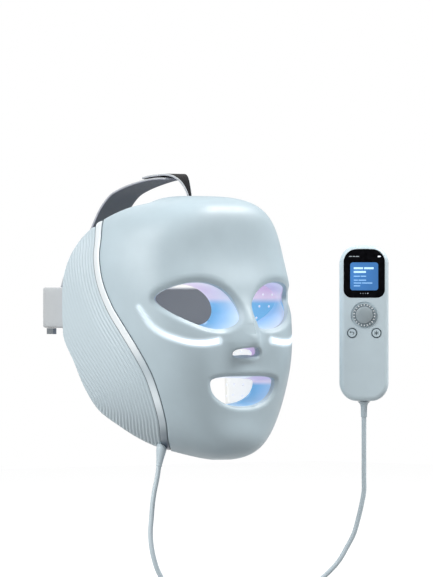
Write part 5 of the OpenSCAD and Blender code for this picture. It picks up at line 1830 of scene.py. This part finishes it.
def build_dial():
    """Dial with a smooth cap in a notched ring."""
    h = in_mm(bpy.context.scene.hand_sizes)
    kit = finishes()
    back = 1 - PRESS - 0.2 - h.hand_d / 2
    rise, cap, ring = 2.4, h.dial_cap_d / 2, h.dial_d / 2
    turn = np.linspace(0, 2 * math.pi, 8 * h.dial_notches, endpoint=False)
    notch = (0.5 + 0.5 * np.cos(turn * h.dial_notches)) ** 2
    parts = Parts()

    def add(form, finish=0):
        parts.add(held(facing(form[0]) + [0, back, DIAL_Z]), form[1], finish)

    # Radius, height and how deep the notches are there
    profile = [
        (ring - 0.3, 0, 1), (ring, 0.3, 1), (ring, rise - 0.5, 1), (ring - 0.15, rise - 0.15, 1),
        (ring - 0.5, rise, 0.8), (ring - 1.0, rise + 0.02, 0.25), (cap + 0.75, rise, 0),
        (cap + 0.35, rise - 0.15, 0), (cap + 0.12, rise - 0.35, 0), (cap, rise - 0.2, 0),
        (cap, rise + 0.55, 0), (cap - 0.12, rise + 0.85, 0), (cap - 0.45, rise + 1.06, 0),
        (cap - 1.2, rise + 1.34, 0), (cap - 3.2, rise + 1.86, 0), (cap - 5.6, rise + 2.15, 0),
        (0.3, rise + 2.2, 0),
    ]
    rings = []
    for r, y, deep in profile:
        radius = r - 0.5 * deep * notch
        rings.append(np.stack([radius * np.cos(turn), radius * np.sin(turn), y + 0 * turn], axis=1))
    add(rings_between(rings))
    shaft = BOARD_Y - 0.3 - PRESS - back
    add(rings_between(lathe([(DIAL_SHAFT / 2, -shaft), (DIAL_SHAFT / 2, 0.8)], 48)))
    for k in range(h.dial_notches):
        a = (k + 0.5) * 2 * math.pi / h.dial_notches
        near, far = cap + 0.75, ring - 0.35
        outline = bar(near * math.cos(a), near * math.sin(a), far * math.cos(a), far * math.sin(a), 0.8)
        add(rings_between([[(x, y, z) for x, y in outline] for z in (rise - 0.1, rise + 0.1)]), 1)
    near, far, low, high = cap + 0.3, ring - 0.3, rise - 0.4, rise + 0.05
    add(rings_between(lathe([(near, low), (far, low), (far, high), (near, high)], 96), True), 2)
    dial = parts.make("control_dial", 35)
    dial_kit = [kit["dial_plastic"], kit["tick_white"], kit["ring_shade"]]
    settle(dial, "dial", dial_kit, ("dial_knob",))


def build_buttons():
    """Two round buttons: back, with a turning arrow, and cool, with ice bars."""
    h = in_mm(bpy.context.scene.hand_sizes)
    kit = finishes()
    r, start = h.button_d / 2, 1 - WALL_Y
    top = h.hand_wall + 1.4
    profile = [
        (0.05, 0), (r + 0.9, 0), (r + 0.9, 0.7), (r, 0.7), (r, top - 0.45), (r - 0.12, top - 0.2),
        (r - 0.4, top - 0.04), (r - 0.8, top), (r - 2, top - 0.05), (0.05, top - 0.12),
    ]
    ring = [
        (r - 0.85, top - 0.3), (r - 0.1, top - 0.4), (r - 0.1, top - 0.12), (r - 0.4, top + 0.02),
        (r - 0.85, top + 0.04),
    ]
    spokes = []
    for a in (30, 90, 150):
        x, z = 1.9 * cosd(a), 1.9 * sind(a)
        spokes.append(bar(-x, -z, x, z, 0.45))
    for a in range(30, 390, 60):
        for turn in (-42, 42):
            x, z = 1.25 * cosd(a), 1.25 * sind(a)
            spokes.append(bar(x, z, x + 0.62 * cosd(a + turn), z + 0.62 * sind(a + turn), 0.28))
    arc = [(1.5 * cosd(a) + 0.1, 0.95 * sind(a) - 0.2) for a in np.linspace(-75, 90, 9)]
    arrow = stroke(arc + [(-1.3, 0.75)], 0.55) + [[(-1.15, 1.75), (-2.15, 0.75), (-1.15, -0.25)]]
    for side, name, body, glyph in (
        (-1, "back_button", "back_key", arrow), (1, "cool_button", "cool_key", spokes),
    ):
        at = [side * h.button_pitch / 2, start, BUTTON_Z]
        parts = Parts()

        def add(form, finish=0):
            parts.add(held(facing(form[0]) + at), form[1], finish)

        add(rings_between(lathe(profile, 64)))
        add(rings_between(lathe(ring, 64), True), 1)
        for outline in glyph:
            add(rings_between([[(x, z, y) for x, z in outline] for y in (top - 0.2, top + 0.03)]), 1)
        button = parts.make(f"{name}_cap", 35)
        settle(button, body, [kit["button_plastic"], kit["symbol"]], (name,))


# Parts that stay as the solids have them, with the width of their softened edges in metres

BEVELLED = {
    "strap_anchor_left": 0.0004, "strap_anchor_right": 0.0004, "strap_anchor_top": 0.0006,
    "strap_adjuster": 0.0006, "cooler_chip_left": 0.0001, "cooler_chip_right": 0.0001,
    "heat_sink_left": 0.0001, "heat_sink_right": 0.0001, "fan_frame_left": 0.0003,
    "fan_frame_right": 0.0003, "control_board": 0.0001, "main_board": 0.0001, "battery_cell": 0.0006,
    "encoder_body": 0.0002, "button_switches": 0.0001, "cord_tie": 0.0004, "charge_socket": 0.0001,
}


def build_inner_parts():
    """Finishes for every part that is shown as its solid."""
    kit = finishes()
    for part in frame["record"]["subparts"]:
        name, slot = part["node"], part["material_slot"]
        obj = frame["nodes"][name]
        if obj.hide_render:
            continue
        obj.data.materials.clear()
        obj.data.materials.append(kit[slot])
        if name in BEVELLED:
            bevel(obj, BEVELLED[name], 40)


# The add-on's face

class MASK_OT_stage(bpy.types.Operator):
    """Lay the floor, the lights and the camera"""

    bl_idname = "mask.stage"
    bl_label = "Stage"

    def execute(self, context):
        build_stage()
        return {"FINISHED"}


class MASK_OT_cord(bpy.types.Operator):
    """Lay the cord and its two sleeves"""

    bl_idname = "mask.cord"
    bl_label = "Cord"

    def execute(self, context):
        build_cord()
        build_glands()
        return {"FINISHED"}


class MASK_OT_front_shell(bpy.types.Operator):
    """Build the front shell"""

    bl_idname = "mask.front_shell"
    bl_label = "Front shell"

    def execute(self, context):
        build_front_shell()
        return {"FINISHED"}


class MASK_OT_side_panels(bpy.types.Operator):
    """Build the ribbed side panels"""

    bl_idname = "mask.side_panels"
    bl_label = "Side panels"

    def execute(self, context):
        build_side_panels()
        return {"FINISHED"}


class MASK_OT_trim_bands(bpy.types.Operator):
    """Build the trim bands"""

    bl_idname = "mask.trim_bands"
    bl_label = "Trim bands"

    def execute(self, context):
        build_trim_bands()
        return {"FINISHED"}


class MASK_OT_liner(bpy.types.Operator):
    """Build the lit liner and its lenses"""

    bl_idname = "mask.liner"
    bl_label = "Liner"

    def execute(self, context):
        build_liner()
        return {"FINISHED"}


class MASK_OT_light_strips(bpy.types.Operator):
    """Build the strips under the eyes"""

    bl_idname = "mask.light_strips"
    bl_label = "Light strips"

    def execute(self, context):
        build_light_strips()
        return {"FINISHED"}


class MASK_OT_cold_plates(bpy.types.Operator):
    """Build the cooling plates"""

    bl_idname = "mask.cold_plates"
    bl_label = "Cold plates"

    def execute(self, context):
        build_cold_plates()
        return {"FINISHED"}


class MASK_OT_straps(bpy.types.Operator):
    """Build the straps"""

    bl_idname = "mask.straps"
    bl_label = "Straps"

    def execute(self, context):
        build_straps()
        return {"FINISHED"}


class MASK_OT_case(bpy.types.Operator):
    """Build both halves of the controller's case"""

    bl_idname = "mask.case"
    bl_label = "Controller case"

    def execute(self, context):
        build_case()
        return {"FINISHED"}


class MASK_OT_display(bpy.types.Operator):
    """Build the window and the screen"""

    bl_idname = "mask.display"
    bl_label = "Display"

    def execute(self, context):
        build_display()
        return {"FINISHED"}


class MASK_OT_dial(bpy.types.Operator):
    """Build the dial"""

    bl_idname = "mask.dial"
    bl_label = "Dial"

    def execute(self, context):
        build_dial()
        return {"FINISHED"}


class MASK_OT_buttons(bpy.types.Operator):
    """Build the two buttons"""

    bl_idname = "mask.buttons"
    bl_label = "Buttons"

    def execute(self, context):
        build_buttons()
        return {"FINISHED"}


class MASK_OT_inner_parts(bpy.types.Operator):
    """Finish the parts shown as their solids"""

    bl_idname = "mask.inner_parts"
    bl_label = "Other parts"

    def execute(self, context):
        build_inner_parts()
        return {"FINISHED"}


OPERATORS = [
    MASK_OT_stage, MASK_OT_cord, MASK_OT_front_shell, MASK_OT_side_panels,
    MASK_OT_trim_bands, MASK_OT_liner, MASK_OT_light_strips, MASK_OT_cold_plates,
    MASK_OT_straps, MASK_OT_case, MASK_OT_display, MASK_OT_dial,
    MASK_OT_buttons, MASK_OT_inner_parts,
]
GROUPS = {
    "mask_sizes": MaskSizes, "strap_sizes": StrapSizes, "hand_sizes": HandSizes, "mask_colours": MaskColours,
}


class MASK_PT_panel(bpy.types.Panel):
    """Sizes, colours and build steps of the light mask"""

    bl_label = "Light mask"
    bl_space_type = "VIEW_3D"
    bl_region_type = "UI"
    bl_category = "Light mask"

    def draw(self, context):
        for name in GROUPS:
            box = self.layout.box()
            group = getattr(context.scene, name)
            for key in group.bl_rna.properties.keys():
                if key not in ("rna_type", "name"):
                    box.prop(group, key)
        for kind in OPERATORS:
            self.layout.operator(kind.bl_idname)


def register():
    """Makes the groups, the operators and the panel known."""
    for kind in list(GROUPS.values()) + OPERATORS + [MASK_PT_panel]:
        bpy.utils.register_class(kind)
    for name, kind in GROUPS.items():
        setattr(bpy.types.Scene, name, PointerProperty(type=kind))


def unregister():
    """Takes them out again, the last one first."""
    for name in GROUPS:
        delattr(bpy.types.Scene, name)
    for kind in [MASK_PT_panel] + OPERATORS[::-1] + list(GROUPS.values())[::-1]:
        bpy.utils.unregister_class(kind)


def main():
    """Builds everything in order."""
    register()
    for kind in OPERATORS:
        getattr(bpy.ops.mask, kind.bl_idname.split(".")[1])()


if __name__ == "__main__":
    main()
